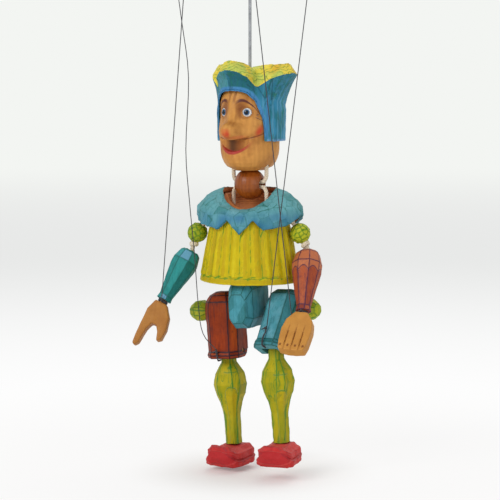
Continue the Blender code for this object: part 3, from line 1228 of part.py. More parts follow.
def leg(side, hip, colour):
    """Thigh, knee pin, calf, ankle dowel, shoe and the thread loop of one leg."""
    right = side == "right"
    middle = thigh(side, hip, colour)
    flex = 0.0 if right else -LEFT_HIP_SWING
    knee = frame(side + "_knee", hip, (middle, 0, -KNEE_DROP), (flex, 0, 0))
    rings = [octagon(half_x, half_y, z) for z, half_x, half_y in calf_rings()]
    name = "calf_" + side
    calf = place(name, loft(rings, name), knee, GREEN)
    reach = KNEE_TONGUE_WIDTH / 2 + CUT_PAST
    cut(calf, cylinder(KNEE_PIN_RADIUS + BORE_CLEARANCE, (-reach, 0, 0), (reach, 0, 0), 12))

    turn = RIGHT_TOE_YAW if right else LEFT_TOE_YAW
    ankle = knee.matrix_world @ Vector((0, 0, -CALF_LENGTH))
    level = Matrix.Translation(ankle) @ Matrix.Rotation(math.radians(turn), 4, "Z")
    foot = frame(side + "_foot", knee, (0, 0, 0))
    foot.matrix_world = level @ Matrix.Translation((0, 0, -SHOE_HEIGHT - ANKLE_RISE))
    bpy.context.view_layer.update()
    solid = shoe("shoe_" + side, foot)
    to_foot = foot.matrix_world.inverted() @ knee.matrix_world
    room = CALF_ANKLE_WIDTH / 2 + ANKLE_ROOM
    pocket = loft([octagon(room, room, z) for z in (-CALF_LENGTH - SEAT_GAP, 0.0)], "pocket")
    pocket.transform(to_foot)
    cut(solid, pocket)

    half = ANKLE_DOWEL_LENGTH / 2
    top, low = (0, 0, -CALF_LENGTH + half), (0, 0, -CALF_LENGTH - half)
    place("ankle_dowel_" + side, cylinder(ANKLE_DOWEL_RADIUS, low, top, 12), knee, PALE_WOOD)
    bore = ANKLE_DOWEL_RADIUS + SEAT_GAP
    hole = cylinder(bore, (0, 0, low[2] - SEAT_GAP), (0, 0, top[2] + SEAT_GAP), 12)
    cut(calf, hole)
    hole_in_shoe = hole.copy()
    hole_in_shoe.transform(to_foot)
    cut(solid, hole_in_shoe)
    return knee_loop(side, hip, middle)


# Threads

def threads(root, wrists, knees):
    """Four threads from the control's bars down to the wrists and the knees."""
    hand_z = HAND_ARM_HEIGHT - HAND_BAR_DEPTH / 2 - THREAD_GAP
    leg_z = PIVOT_HEIGHT - LEG_BAR_PIVOT - LEG_BAR_DEPTH / 2 - THREAD_GAP
    ends = {
        "hand_thread_right": (Vector((-HAND_BAR_SPAN / 2, -HAND_BAR_FORWARD, hand_z)), wrists["right"]),
        "hand_thread_left": (Vector((HAND_BAR_SPAN / 2, -HAND_BAR_FORWARD, hand_z)), wrists["left"]),
        "leg_thread_left": (Vector((LEG_BAR_SPAN / 2, -LEG_BAR_FORWARD, leg_z)), knees["left"]),
    }
    for name, (top, low) in ends.items():
        route = [top.lerp(low, step / 4) for step in range(5)]
        place(name, tube(name, route, THREAD_RADIUS), root, THREAD_GREY, roughness=0.8)
    top = Vector((-LEG_BAR_SPAN / 2, -LEG_BAR_FORWARD, leg_z))
    slack = [top]
    for x, y, share in SLACK_THREAD:
        slack.append(Vector((x, y, blend(top.z, knees["right"].z, share))))
    slack.append(knees["right"])
    name = "leg_thread_right"
    place(name, tube(name, smooth_route(slack, 3), THREAD_RADIUS), root, THREAD_GREY, roughness=0.8)


def main():
    """Build the whole puppet under one frame at sole level."""
    root = frame("sole_level", None, (0, 0, -HANG_HEIGHT))
    control(root)
    head(root)
    neck_frame = neck(root)
    block = torso(root, neck_frame)
    wrists = {side: arm(root, block, side) for side in ("right", "left")}
    hips = pelvis(root)
    right_hip, left_hip = hip_frames(hips)
    hip_cord(hips)
    up = Matrix.Translation((0, 0, HANG_HEIGHT))
    knees = {"right": up @ leg("right", right_hip, RUST), "left": up @ leg("left", left_hip, TEAL)}
    threads(root, wrists, knees)


main()
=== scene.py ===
"""Carved and painted jester on threads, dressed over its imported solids.

Metres, +Z up. The origin is the inside top of the hanging hook, the puppet looks
along -Y and its own left is +X.
"""
import json
import logging
import math
import random
from dataclasses import dataclass, field
from enum import Enum
from functools import cached_property
from typing import Callable, Iterable, Optional, Sequence, Union

import bmesh
import bpy
from mathutils import Matrix, Vector, kdtree, noise
from mathutils.bvhtree import BVHTree


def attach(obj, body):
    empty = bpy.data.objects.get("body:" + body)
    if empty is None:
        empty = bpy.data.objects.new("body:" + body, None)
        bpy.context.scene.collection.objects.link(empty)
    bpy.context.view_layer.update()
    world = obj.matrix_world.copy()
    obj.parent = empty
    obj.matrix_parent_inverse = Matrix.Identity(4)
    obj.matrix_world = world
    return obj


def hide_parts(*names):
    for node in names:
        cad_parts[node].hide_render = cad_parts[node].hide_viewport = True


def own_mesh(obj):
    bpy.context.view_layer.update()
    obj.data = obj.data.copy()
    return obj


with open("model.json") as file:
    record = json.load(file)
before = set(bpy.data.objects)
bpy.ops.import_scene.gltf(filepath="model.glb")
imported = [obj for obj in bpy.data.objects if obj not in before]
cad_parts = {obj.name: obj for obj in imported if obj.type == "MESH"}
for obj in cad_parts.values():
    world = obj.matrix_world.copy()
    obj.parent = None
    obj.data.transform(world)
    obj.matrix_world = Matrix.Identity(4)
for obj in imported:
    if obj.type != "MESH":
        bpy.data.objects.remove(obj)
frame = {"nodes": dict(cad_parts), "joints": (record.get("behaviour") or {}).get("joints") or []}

LOG = logging.getLogger("jester")
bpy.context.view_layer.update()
SOLE = -0.545               # level of the standing sole
GOLDEN_ANGLE = 2.399963     # radians between neighbouring cells of a ball
THREAD_PITCH = 0.0022       # metres for one turn of a thread's two strands
TURN_STEPS = 10             # points on one turn of a strand
MARK_SPACING = 0.0003       # metres between the samples of a facet edge
EDGE_WANDER = 0.0004        # metres that an edge line strays from its edge
JOIN_GAP = 0.00001          # metres below which loose corners are one
NOISE_SEED = 1              # of noise_vector, which otherwise starts from the clock

Colour = tuple[float, float, float, float]
Stroke = tuple[Colour, float, float]        # colour, share and rise
Painter = Callable[[Vector, Vector], tuple[Colour, float]]
Sculptor = Callable[[Vector, Vector], float]
Zone = Callable[[Vector, Vector], float]
UNPAINTED: Colour = (0.5, 0.5, 0.5, 1.0)


class Side(Enum):
    """The puppet's own right and left."""

    RIGHT = "right"
    LEFT = "left"


def srgb(red: float, green: float, blue: float) -> Colour:
    """A screen colour of 0 to 255 as linear light.

    Args:
        red: red on screen.
        green: green on screen.
        blue: blue on screen.

    Returns:
        The linear colour with full alpha.
    """
    def linear(part: float) -> float:
        """One channel as linear light."""
        share = part / 255.0
        return share / 12.92 if share <= 0.04045 else ((share + 0.055) / 1.055) ** 2.4
    return linear(red), linear(green), linear(blue), 1.0


def ease(value: float, low: float, high: float) -> float:
    """Smooth step of a value from 0 at low to 1 at high."""
    share = min(1.0, max(0.0, (value - low) / (high - low)))
    return share * share * (3.0 - 2.0 * share)


# Shader values

def arithmetic(operation: str, reflected: bool = False) -> Callable[["Value", "Operand"], "Value"]:
    """An arithmetic method of a shader value.

    Args:
        operation: the Math node's operation.
        reflected: whether the value stands on the right.

    Returns:
        The method.
    """
    def method(value: "Value", other: "Operand") -> "Value":
        """One Math node on the value and the other operand."""
        first, second = (other, value) if reflected else (value, other)
        return value.shader.node("ShaderNodeMath", {"operation": operation}, {0: first, 1: second})
    return method


class Value:
    """A shader socket that takes part in Python arithmetic."""

    __add__ = arithmetic("ADD")
    __radd__ = arithmetic("ADD", reflected=True)
    __sub__ = arithmetic("SUBTRACT")
    __rsub__ = arithmetic("SUBTRACT", reflected=True)
    __mul__ = arithmetic("MULTIPLY")
    __rmul__ = arithmetic("MULTIPLY", reflected=True)

    def __init__(self, shader: "Nodes", socket: bpy.types.NodeSocket) -> None:
        """Keep the node tree and the socket."""
        self.shader = shader
        self.socket = socket

    def step(self, low: float, high: float) -> "Value":
        """Smooth step from 0 at low to 1 at high."""
        settings = {"interpolation_type": "SMOOTHSTEP"}
        return self.shader.node("ShaderNodeMapRange", settings, {0: self, 1: low, 2: high, 3: 0.0, 4: 1.0})


Operand = Union[Value, float]


class Nodes:
    """A node tree that is built and fed from Python."""

    def __init__(self, tree: bpy.types.NodeTree) -> None:
        """Keep the tree."""
        self.tree = tree

    def node(self, kind: str, settings: Optional[dict] = None, inputs: Optional[dict] = None,
             output: int = 0) -> Value:
        """Add one node.

        Args:
            kind: the node's type.
            settings: its properties, set first.
            inputs: values or links of its sockets, by name or place.
            output: which output is wanted.

        Returns:
            The wanted output.
        """
        made = self.tree.nodes.new(kind)
        for key, setting in (settings or {}).items():
            setattr(made, key, setting)
        for key, given in (inputs or {}).items():
            self.feed(made.inputs[key], given)
        return Value(self, made.outputs[output])

    def feed(self, socket: bpy.types.NodeSocket, given: object) -> None:
        """Link a value to a socket, or set the socket to a constant.

        Args:
            socket: the input.
            given: a value to link, or a constant.
        """
        if isinstance(given, Value):
            self.tree.links.new(given.socket, socket)
        else:
            socket.default_value = given


class Shader(Nodes):
    """A material under construction, ending in one Principled surface."""

    def __init__(self, name: str) -> None:
        """Start an empty material with its output and surface.

        Args:
            name: the material.
        """
        self.material = bpy.data.materials.new(name)
        self.material.use_nodes = True
        super().__init__(self.material.node_tree)
        self.surface = self.tree.nodes["Principled BSDF"]

    def place(self, turn: Sequence[float] = (0, 0, 0), scale: Sequence[float] = (1, 1, 1)) -> Value:
        """Object coordinates, turned and scaled.

        Args:
            turn: radians about X, Y and Z.
            scale: factors along X, Y and Z.

        Returns:
            The coordinates.
        """
        coords = self.node("ShaderNodeTexCoord", output=3)
        turned = self.node("ShaderNodeMapping", None, {"Vector": coords, "Rotation": turn})
        return self.node("ShaderNodeMapping", None, {"Vector": turned, "Scale": scale})

    def noise(self, where: Value, scale: float, detail: float = 3.0, rough: float = 0.55) -> Value:
        """Cloudy noise from 0 to 1."""
        return self.node("ShaderNodeTexNoise", None,
                         {"Vector": where, "Scale": scale, "Detail": detail, "Roughness": rough})

    def scratches(self, where: Value, scale: float) -> Value:
        """Thin wandering lines, broken here and there, from 0 to 1.

        Args:
            where: the coordinates.
            scale: how fine the lines are.

        Returns:
            The lines.
        """
        level = self.noise(where, scale, 2.0, 0.5)
        line = level.step(0.470, 0.500) * (1 - level.step(0.500, 0.530))
        return line * self.noise(where, 2.3 * scale, 1.0).step(0.42, 0.58)

    def waves(self, where: Value, scale: float, sway: float) -> Value:
        """Wavy lines across Z, from 0 to 1.

        Args:
            where: the coordinates.
            scale: how close the lines are.
            sway: how far they wander.

        Returns:
            The lines.
        """
        settings = {"wave_type": "BANDS", "bands_direction": "Z"}
        inputs = {"Vector": where, "Scale": scale, "Distortion": sway, "Detail": 2.0, "Detail Scale": 1.2}
        return self.node("ShaderNodeTexWave", settings, inputs, 1)

    def stored(self, name: str, output: int = 2) -> Value:
        """An attribute of the mesh; output 0 is its colour, 2 its number."""
        return self.node("ShaderNodeAttribute", {"attribute_name": name}, None, output)

    def mix(self, low: object, high: object, share: Operand) -> Value:
        """Colour between low and high."""
        return self.node("ShaderNodeMix", {"data_type": "RGBA"}, {0: share, 6: low, 7: high}, 2)

    def bump(self, height: Value, depth: float) -> Value:
        """Normal of a surface raised by a height."""
        return self.node("ShaderNodeBump", None, {"Height": height, "Distance": depth})

    def finish(self, **sockets: object) -> bpy.types.Material:
        """Feed the surface's sockets, given with underscores for spaces, and return the material.

        Args:
            sockets: values and constants by socket.

        Returns:
            The material.
        """
        for name, given in sockets.items():
            self.feed(self.surface.inputs[name.replace("_", " ")], given)
        return self.material


# Finishes

@dataclass(frozen=True)
class StainedWood:
    """Carved wood under a thin colour wash that pools in the cuts.

    Attributes:
        name: the finish.
        wash: main colour.
        deep: colour where the wash lies thick.
        worn: colour where it is rubbed thin.
        line: colour pooled along the facet edges.
        line_share: how strongly the edges are drawn.
        stray: how much of the edge colour strays over the facets.
        broken: how much the edge lines break up.
        rough: mean roughness.
        coat: thin wax over the wash.
        pooled: how much of the edge colour lies beside the edges.
        scratch: how strongly thin knife lines hold the edge colour.
    """

    name: str
    wash: Colour
    deep: Colour
    worn: Colour
    line: Colour
    line_share: float = 0.75
    stray: float = 0.25
    broken: float = 0.7
    rough: float = 0.46
    coat: float = 0.03
    pooled: float = 0.28
    scratch: float = 0.15

    def material(self) -> bpy.types.Material:
        """The finish as a material.

        Returns:
            A new material that reads the piece's edge, facet and paint attributes.
        """
        shader = Shader(self.name)
        plain = shader.place()
        along = shader.place(scale=(1.0, 1.0, 0.10))
        cloud = shader.noise(plain, 95.0, 3.0)
        streak = shader.noise(along, 620.0, 4.0, 0.6)
        fibre = shader.noise(along, 1900.0, 2.0, 0.5)
        facet = shader.stored("facet")
        edge = shader.stored("edge")
        covered = shader.stored("paint_share")
        tone = cloud * 0.6 + facet * 0.6
        colour = shader.mix(self.wash, self.deep, tone.step(0.55, 0.95) * 0.85)
        colour = shader.mix(colour, self.worn, (1 - tone).step(0.50, 0.85) * 0.8)
        colour = shader.mix(colour, self.deep, streak.step(0.50, 0.70) * 0.5)
        colour = shader.mix(colour, self.worn, (1 - fibre).step(0.55, 0.75) * 0.22)
        brushed = shader.noise(along, 260.0, 4.0, 0.68)
        colour = shader.mix(colour, self.line, brushed.step(0.53, 0.68) * self.stray)
        colour = shader.mix(colour, self.line, shader.stored("pool") * (self.pooled * self.line_share))
        colour = shader.mix(colour, self.line, shader.scratches(along, 150.0) * self.scratch)
        colour = shader.mix(colour, shader.stored("paint", 0), covered)
        broken = shader.noise(plain, 260.0, 2.0)
        shown = (1 - covered.step(0.88, 1.0)) * self.line_share
        drawn = (edge + broken * self.broken - 0.5 * self.broken).step(0.25, 0.85) * shown
        colour = shader.mix(colour, self.line, drawn)
        chatter = shader.noise(plain, 330.0, 2.0)
        height = streak * 0.35 + fibre * 0.2 + chatter * 0.6
        return shader.finish(Base_Color=colour, Roughness=self.rough + streak * 0.22 - drawn * 0.08,
                             Normal=shader.bump(height, 0.00035), Coat_Weight=self.coat,
                             Coat_Roughness=0.35, Specular_IOR_Level=0.2)


@dataclass(frozen=True)
class BareWood:
    """Oiled bare wood with growth rings, pores and painted touches.

    Attributes:
        name: the finish.
        light: colour of the early wood.
        dark: colour of the late wood.
        pore: colour of the pores and the cuts.
        rough: mean roughness.
        coat: oil or varnish on the wood.
        rings: how strongly the growth rings show.
        speck: how strongly the pores show.
    """

    name: str
    light: Colour
    dark: Colour
    pore: Colour
    rough: float = 0.42
    coat: float = 0.05
    rings: float = 0.35
    speck: float = 0.40

    def material(self) -> bpy.types.Material:
        """The finish as a material.

        Returns:
            A new material that reads the piece's edge and paint attributes.
        """
        shader = Shader(self.name)
        plain = shader.place()
        along = shader.place(scale=(1.0, 1.0, 0.12))
        sway = shader.noise(along, 60.0, 2.0)
        across = shader.node("ShaderNodeSeparateXYZ", None, {0: plain})
        rings = shader.node("ShaderNodeMath", {"operation": "SINE"}, {0: across * 1500.0 + sway * 26.0})
        pores = shader.noise(along, 1500.0, 3.0, 0.6)
        cloud = shader.noise(plain, 70.0, 3.0)
        late = (rings * 0.5 + 0.5) * self.rings + cloud.step(0.35, 0.75) * 0.6
        colour = shader.mix(self.light, self.dark, late)
        colour = shader.mix(colour, self.pore, pores.step(0.60, 0.74) * self.speck)
        colour = shader.mix(colour, shader.stored("paint", 0), shader.stored("paint_share"))
        broken = shader.noise(plain, 300.0, 2.0)
        drawn = (shader.stored("edge") + broken * 0.8 - 0.4).step(0.3, 0.9) * 0.45
        colour = shader.mix(colour, self.pore, drawn)
        chatter = shader.noise(plain, 300.0, 2.0)
        height = rings * 0.06 + pores * 0.3 + chatter * 0.5
        return shader.finish(Base_Color=colour, Roughness=self.rough + pores * 0.25,
                             Normal=shader.bump(height, 0.00028), Coat_Weight=self.coat,
                             Coat_Roughness=0.28, Specular_IOR_Level=0.25)


@dataclass(frozen=True)
class HatPaint:
    """Blue wash on the sides of the hat, and a yellow top with amber, lime and green cuts."""

    name: str
    side: StainedWood
    yellow: Colour
    amber: Colour
    green: Colour
    lime: Colour = srgb(170, 198, 98)
    leaf: Colour = srgb(24, 112, 84)

    def material(self) -> bpy.types.Material:
        """The two washes as one material, parted by the piece's "top" attribute.

        Returns:
            A new material.
        """
        shader = Shader(self.name)
        plain = shader.place()
        along = shader.place(scale=(1.0, 1.0, 0.10))
        cloud = shader.noise(plain, 75.0, 3.0)
        streak = shader.noise(along, 560.0, 4.0, 0.6)
        facet = shader.stored("facet")
        edge = shader.stored("edge")
        tone = cloud * 0.7 + facet * 0.55
        blue = shader.mix(self.side.wash, self.side.deep, tone.step(0.55, 0.95) * 0.9)
        blue = shader.mix(blue, self.side.worn, (1 - tone).step(0.50, 0.85) * 0.8)
        blue = shader.mix(blue, self.side.deep, streak.step(0.50, 0.72) * 0.5)
        blue = shader.mix(blue, shader.stored("paint", 0), shader.stored("paint_share"))
        broken = shader.noise(plain, 230.0, 2.0)
        drawn = (edge + broken * 0.9 - 0.45).step(0.25, 0.85)
        blue = shader.mix(blue, self.side.line, drawn * self.side.line_share)
        brushed = shader.noise(along, 240.0, 4.0, 0.68)
        blue = shader.mix(blue, self.leaf, brushed.step(0.53, 0.66) * 0.7)
        blue = shader.mix(blue, self.side.line, shader.scratches(along, 170.0) * 0.55)
        strokes = shader.waves(shader.place((0.35, 0.25, 0.0)), 72.0, 15.0)
        cut = (0.42 - strokes - broken * 0.5).step(0.0, 0.16)
        top = shader.mix(self.yellow, self.amber, cloud.step(0.44, 0.64) * 0.75)
        top = shader.mix(top, self.lime, shader.noise(plain, 60.0, 2.0).step(0.46, 0.62) * 0.7)
        top = shader.mix(top, self.green, cut * 0.5)
        top = shader.mix(top, self.green, drawn * 0.5)
        crown = shader.stored("top")
        colour = shader.mix(blue, top, crown.step(0.35, 0.65))
        chatter = shader.noise(plain, 330.0, 2.0)
        height = streak * 0.35 + chatter * 0.6 - cut * crown * 0.8
        return shader.finish(Base_Color=colour, Roughness=0.44 + streak * 0.2,
                             Normal=shader.bump(height, 0.0004), Specular_IOR_Level=0.2)


@dataclass(frozen=True)
class TurnedMetal:
    """Drawn or turned metal with fine scratches."""

    name: str
    colour: Colour
    tarnish: Colour
    rough: float = 0.28

    def material(self) -> bpy.types.Material:
        """The metal as a material.

        Returns:
            A new material.
        """
        shader = Shader(self.name)
        drawn = shader.noise(shader.place(scale=(1.0, 1.0, 0.04)), 2600.0, 3.0)
        cloud = shader.noise(shader.place(), 120.0, 3.0)
        colour = shader.mix(self.colour, self.tarnish, cloud.step(0.45, 0.75) * 0.7)
        return shader.finish(Base_Color=colour, Metallic=1.0, Normal=shader.bump(drawn, 0.00008),
                             Roughness=self.rough + drawn * 0.2 + cloud * 0.1)


@dataclass(frozen=True)
class Cotton:
    """Twisted cotton: pale on the strands, and between them darker with painted shade, and fuzzy."""

    name: str
    light: Colour
    dark: Colour
    fine: float = 1800.0

    def material(self) -> bpy.types.Material:
        """The cotton as a material that reads the piece's "edge" attribute between strands.

        Returns:
            A new material.
        """
        shader = Shader(self.name)
        plain = shader.place()
        fuzz = shader.noise(plain, self.fine, 3.0, 0.65)
        soil = shader.noise(plain, 160.0, 2.0)
        painted_groove_shade = shader.stored("edge")
        # painted shade in the gaps between the strands, mixed with soil
        colour = shader.mix(self.light, self.dark, painted_groove_shade * 0.75 + soil.step(0.5, 0.8) * 0.25)
        colour = shader.mix(colour, self.dark, fuzz.step(0.55, 0.8) * 0.3)
        return shader.finish(Base_Color=colour, Roughness=0.85 + fuzz * 0.1,
                             Normal=shader.bump(fuzz, 0.00025), Sheen_Weight=0.25)


@dataclass(frozen=True)
class EyeEnamel:
    """Glossy painted eye: the paint attribute carries white, iris, pupil and a painted highlight."""

    name: str = "eye_enamel"

    def material(self) -> bpy.types.Material:
        """The enamel as a material.

        Returns:
            A new material.
        """
        shader = Shader(self.name)
        speck = shader.noise(shader.place(), 900.0, 2.0)
        colour = shader.mix(shader.stored("paint", 0), srgb(150, 130, 120), speck.step(0.62, 0.8) * 0.25)
        return shader.finish(Base_Color=colour, Roughness=0.30 + speck * 0.1, Coat_Weight=0.12,
                             Coat_Roughness=0.10, Specular_IOR_Level=0.25)


HAT_BLUE = StainedWood("hat_blue_wash", srgb(56, 142, 180), srgb(27, 109, 121), srgb(105, 187, 228),
                       srgb(22, 70, 76), 0.6)
COLLAR_TEAL = StainedWood("collar_wash", srgb(100, 164, 172), srgb(58, 128, 128), srgb(146, 196, 210),
                          srgb(26, 98, 84), 0.7, 0.22)
HIP_TEAL = StainedWood("hip_wash", srgb(72, 150, 165), srgb(41, 110, 115), srgb(123, 183, 201),
                       srgb(22, 80, 74), 0.7, 0.22)
SLEEVE_TEAL = StainedWood("sleeve_wash", srgb(40, 144, 142), srgb(16, 99, 95), srgb(84, 173, 186),
                          srgb(14, 84, 76), 0.6, 0.3)
YELLOW = StainedWood("yellow_wash", srgb(207, 185, 4), srgb(185, 156, 2), srgb(221, 203, 21),
                     srgb(84, 136, 26), 0.9, 0.10, 0.35, pooled=0.10, scratch=0.3)
GREENISH = StainedWood("yellow_green_wash", srgb(184, 186, 34), srgb(146, 162, 24), srgb(212, 206, 80),
                       srgb(60, 126, 34), 0.75, 0.35, scratch=0.4)
OLIVE = StainedWood("olive_wash", srgb(185, 168, 4), srgb(150, 148, 2), srgb(207, 189, 30),
                    srgb(44, 122, 36), 0.95, 0.75, 0.4, scratch=0.8)
TERRACOTTA = StainedWood("terracotta_wash", srgb(171, 79, 40), srgb(134, 54, 32), srgb(198, 113, 67),
                         srgb(74, 36, 62), 0.95, 0.22, scratch=0.5)
RUST = StainedWood("rust_wash", srgb(160, 58, 6), srgb(120, 38, 4), srgb(196, 87, 17),
                   srgb(46, 20, 32), 0.95, 0.22, scratch=0.5)
RED = StainedWood("red_wash", srgb(199, 48, 46), srgb(170, 32, 36), srgb(214, 82, 74),
                  srgb(136, 26, 40), 0.40, 0.12)
FACE = BareWood("face_wood", srgb(212, 150, 74), srgb(146, 82, 27), srgb(124, 62, 20),
                rings=0.14, speck=0.24)
HAND_WOOD = BareWood("hand_wood", srgb(184, 127, 57), srgb(164, 104, 39), srgb(120, 63, 20),
                     rings=0.16, speck=0.16)
VARNISHED = BareWood("varnished_ball", srgb(156, 82, 21), srgb(111, 49, 7), srgb(71, 29, 4),
                     rough=0.30, coat=0.25, rings=0.30, speck=0.35)
CONTROL_WOOD = BareWood("control_wood", srgb(176, 118, 70), srgb(136, 82, 44), srgb(84, 48, 26))
HAT = HatPaint("hat_wash", HAT_BLUE, srgb(230, 210, 74), srgb(214, 168, 52), srgb(84, 150, 70))
STEEL = TurnedMetal("drawn_steel", srgb(150, 152, 156), srgb(104, 106, 110))
CREAM = Cotton("cream_cotton", srgb(236, 222, 198), srgb(168, 142, 108))
DARK_THREAD = Cotton("dark_thread", srgb(58, 56, 62), srgb(24, 22, 28), 3200.0)

# Paints of single strokes, worked out once

PLUM = srgb(76, 26, 30)
# brown of the forehead lines and of the painted shade over the lids, round the eyes and beside the nose's
# bridge
BROWN = srgb(116, 58, 20)
# painted shade deep inside the mouth
MOUTH_PAINTED_SHADE = srgb(82, 44, 14)
ROUGE = srgb(200, 34, 26)
BLUSH = srgb(204, 96, 62)
CHEEK_RED = srgb(200, 40, 28)
SMILE_BROWN = srgb(120, 62, 30)
# browner edge of the painted shade inside the mouth
MOUTH_BROWN = srgb(158, 92, 36)
LIP_RED = srgb(168, 40, 46)
WRINKLE_BROWN = srgb(92, 50, 26)
EYE_WHITE = srgb(240, 242, 242)
IRIS_RING = srgb(26, 52, 92)
IRIS_BLUE = srgb(62, 130, 190)
PUPIL = srgb(14, 15, 20)
# painted highlight on the eyes
EYE_PAINTED_HIGHLIGHT = srgb(235, 240, 245)
HAT_PEAK = srgb(18, 88, 96)
HAT_FRONT = srgb(18, 84, 88)
HAT_CORNER = srgb(88, 152, 160)
HAT_STRIPE = srgb(104, 166, 198)
HAT_LEAF = srgb(22, 106, 78)
HAT_BAND = srgb(70, 130, 184)
HAT_BEVEL = srgb(132, 178, 216)
CAPE_BORDER = srgb(30, 100, 150)
NECK_WOOD = srgb(184, 108, 54)
HOLLOW_LIGHT = srgb(206, 132, 76)
HOLLOW_DARK = srgb(156, 88, 46)
TUNIC_SHADE = srgb(176, 152, 2)
TUNIC_GREEN = srgb(84, 136, 30)
SLEEVE_PETAL = srgb(206, 128, 84)
# painted highlight on the teal sleeve's facets that face up and forward
SLEEVE_PAINTED_HIGHLIGHT = srgb(112, 166, 200)
HAND_TONES = {Side.LEFT: srgb(212, 152, 68), Side.RIGHT: srgb(152, 96, 38)}
NAIL_BROWN = srgb(110, 56, 16)
NET_GREEN = srgb(44, 112, 22)
KNOB_GREEN = srgb(40, 128, 60)
# painted shadow that the tunic casts on the top of the left thigh
THIGH_PAINTED_SHADOW = srgb(28, 74, 70)
CALF_YELLOW = srgb(190, 160, 6)
CALF_OLIVE = srgb(112, 118, 8)
CALF_GREEN = srgb(76, 128, 48)
# painted highlight on the upward faces of the shoes
SHOE_PAINTED_HIGHLIGHT = srgb(222, 92, 86)
SHOE_OVAL = srgb(176, 36, 42)
SHOE_RIM = srgb(214, 104, 100)


# Modelling tools

def focus(piece: bpy.types.Object) -> None:
    """Make one piece the only selected and active object.

    Args:
        piece: the piece.
    """
    bpy.ops.object.select_all(action="DESELECT")
    piece.select_set(True)
    bpy.context.view_layer.objects.active = piece


def new_piece(name: str, mesh: bpy.types.Mesh) -> bpy.types.Object:
    """An object for a mesh, linked, focused and at the origin.

    Args:
        name: the object.
        mesh: its mesh.

    Returns:
        The object.
    """
    piece = bpy.data.objects.new(name, mesh)
    bpy.context.scene.collection.objects.link(piece)
    focus(piece)
    return piece


def apply_modifier(piece: bpy.types.Object, kind: str, **settings: object) -> None:
    """Add a modifier with its settings and apply it.

    Args:
        piece: the piece.
        kind: the modifier's type.
        settings: its properties.
    """
    focus(piece)
    modifier = piece.modifiers.new(kind.lower(), kind)
    for key, setting in settings.items():
        setattr(modifier, key, setting)
    bpy.ops.object.modifier_apply(modifier=modifier.name)


def store(mesh: bpy.types.Mesh, name: str, values: Sequence) -> None:
    """Keep one number or colour per vertex as an attribute.

    Args:
        mesh: the mesh that gets it.
        name: the attribute's name.
        values: numbers, or colours of four parts.
    """
    if isinstance(values[0], (int, float)):
        mesh.attributes.new(name, "FLOAT", "POINT").data.foreach_set("value", values)
    else:
        flat = [part for colour in values for part in colour]
        mesh.attributes.new(name, "FLOAT_COLOR", "POINT").data.foreach_set("color", flat)


def point_tree(points: Sequence[Vector]) -> kdtree.KDTree:
    """Search tree of some points.

    Args:
        points: the points.

    Returns:
        The tree, ready to search.
    """
    tree = kdtree.KDTree(len(points))
    for place, point in enumerate(points):
        tree.insert(point, place)
    tree.balance()
    return tree


def merged_copy(node: str, name: str) -> bpy.types.Object:
    """A solid's copy as its own piece, with its loose triangles joined.

    Args:
        node: the solid.
        name: the new piece.

    Returns:
        The piece.
    """
    mesh = frame["nodes"][node].data.copy()
    mesh.materials.clear()
    piece = new_piece(name, mesh)
    bpy.ops.object.mode_set(mode="EDIT")
    bpy.ops.mesh.select_all(action="SELECT")
    bpy.ops.mesh.remove_doubles(threshold=JOIN_GAP)
    bpy.ops.object.mode_set(mode="OBJECT")
    return piece


@dataclass(frozen=True)
class Carving:
    """How a solid's copy is carved into its finished form.

    Attributes:
        fine: size of the finished surface's cells.
        soften: passes that round the facet edges.
        edge_angle: facets meeting at more degrees than this have an edge line.
        edge_width: half width of the edge line.
        valleys: only inward edges are drawn.
        lengthwise: only edges that run up and down are drawn.
        wave: depth of the hand-cut unevenness.
        wave_size: its span.
        chip: span of the gouge's scoops, none at 0.
        chip_depth: depth of a scoop.
        chip_stretch: a scoop's width for its height.
        chip_line: how strongly the ridges between scoops are drawn.
    """

    fine: float = 0.0006
    soften: int = 3
    edge_angle: float = 14.0
    edge_width: float = 0.0009
    valleys: bool = False
    lengthwise: bool = False
    wave: float = 0.00022
    wave_size: float = 0.006
    chip: float = 0.0
    chip_depth: float = 0.0003
    chip_stretch: float = 0.55
    chip_line: float = 0.55


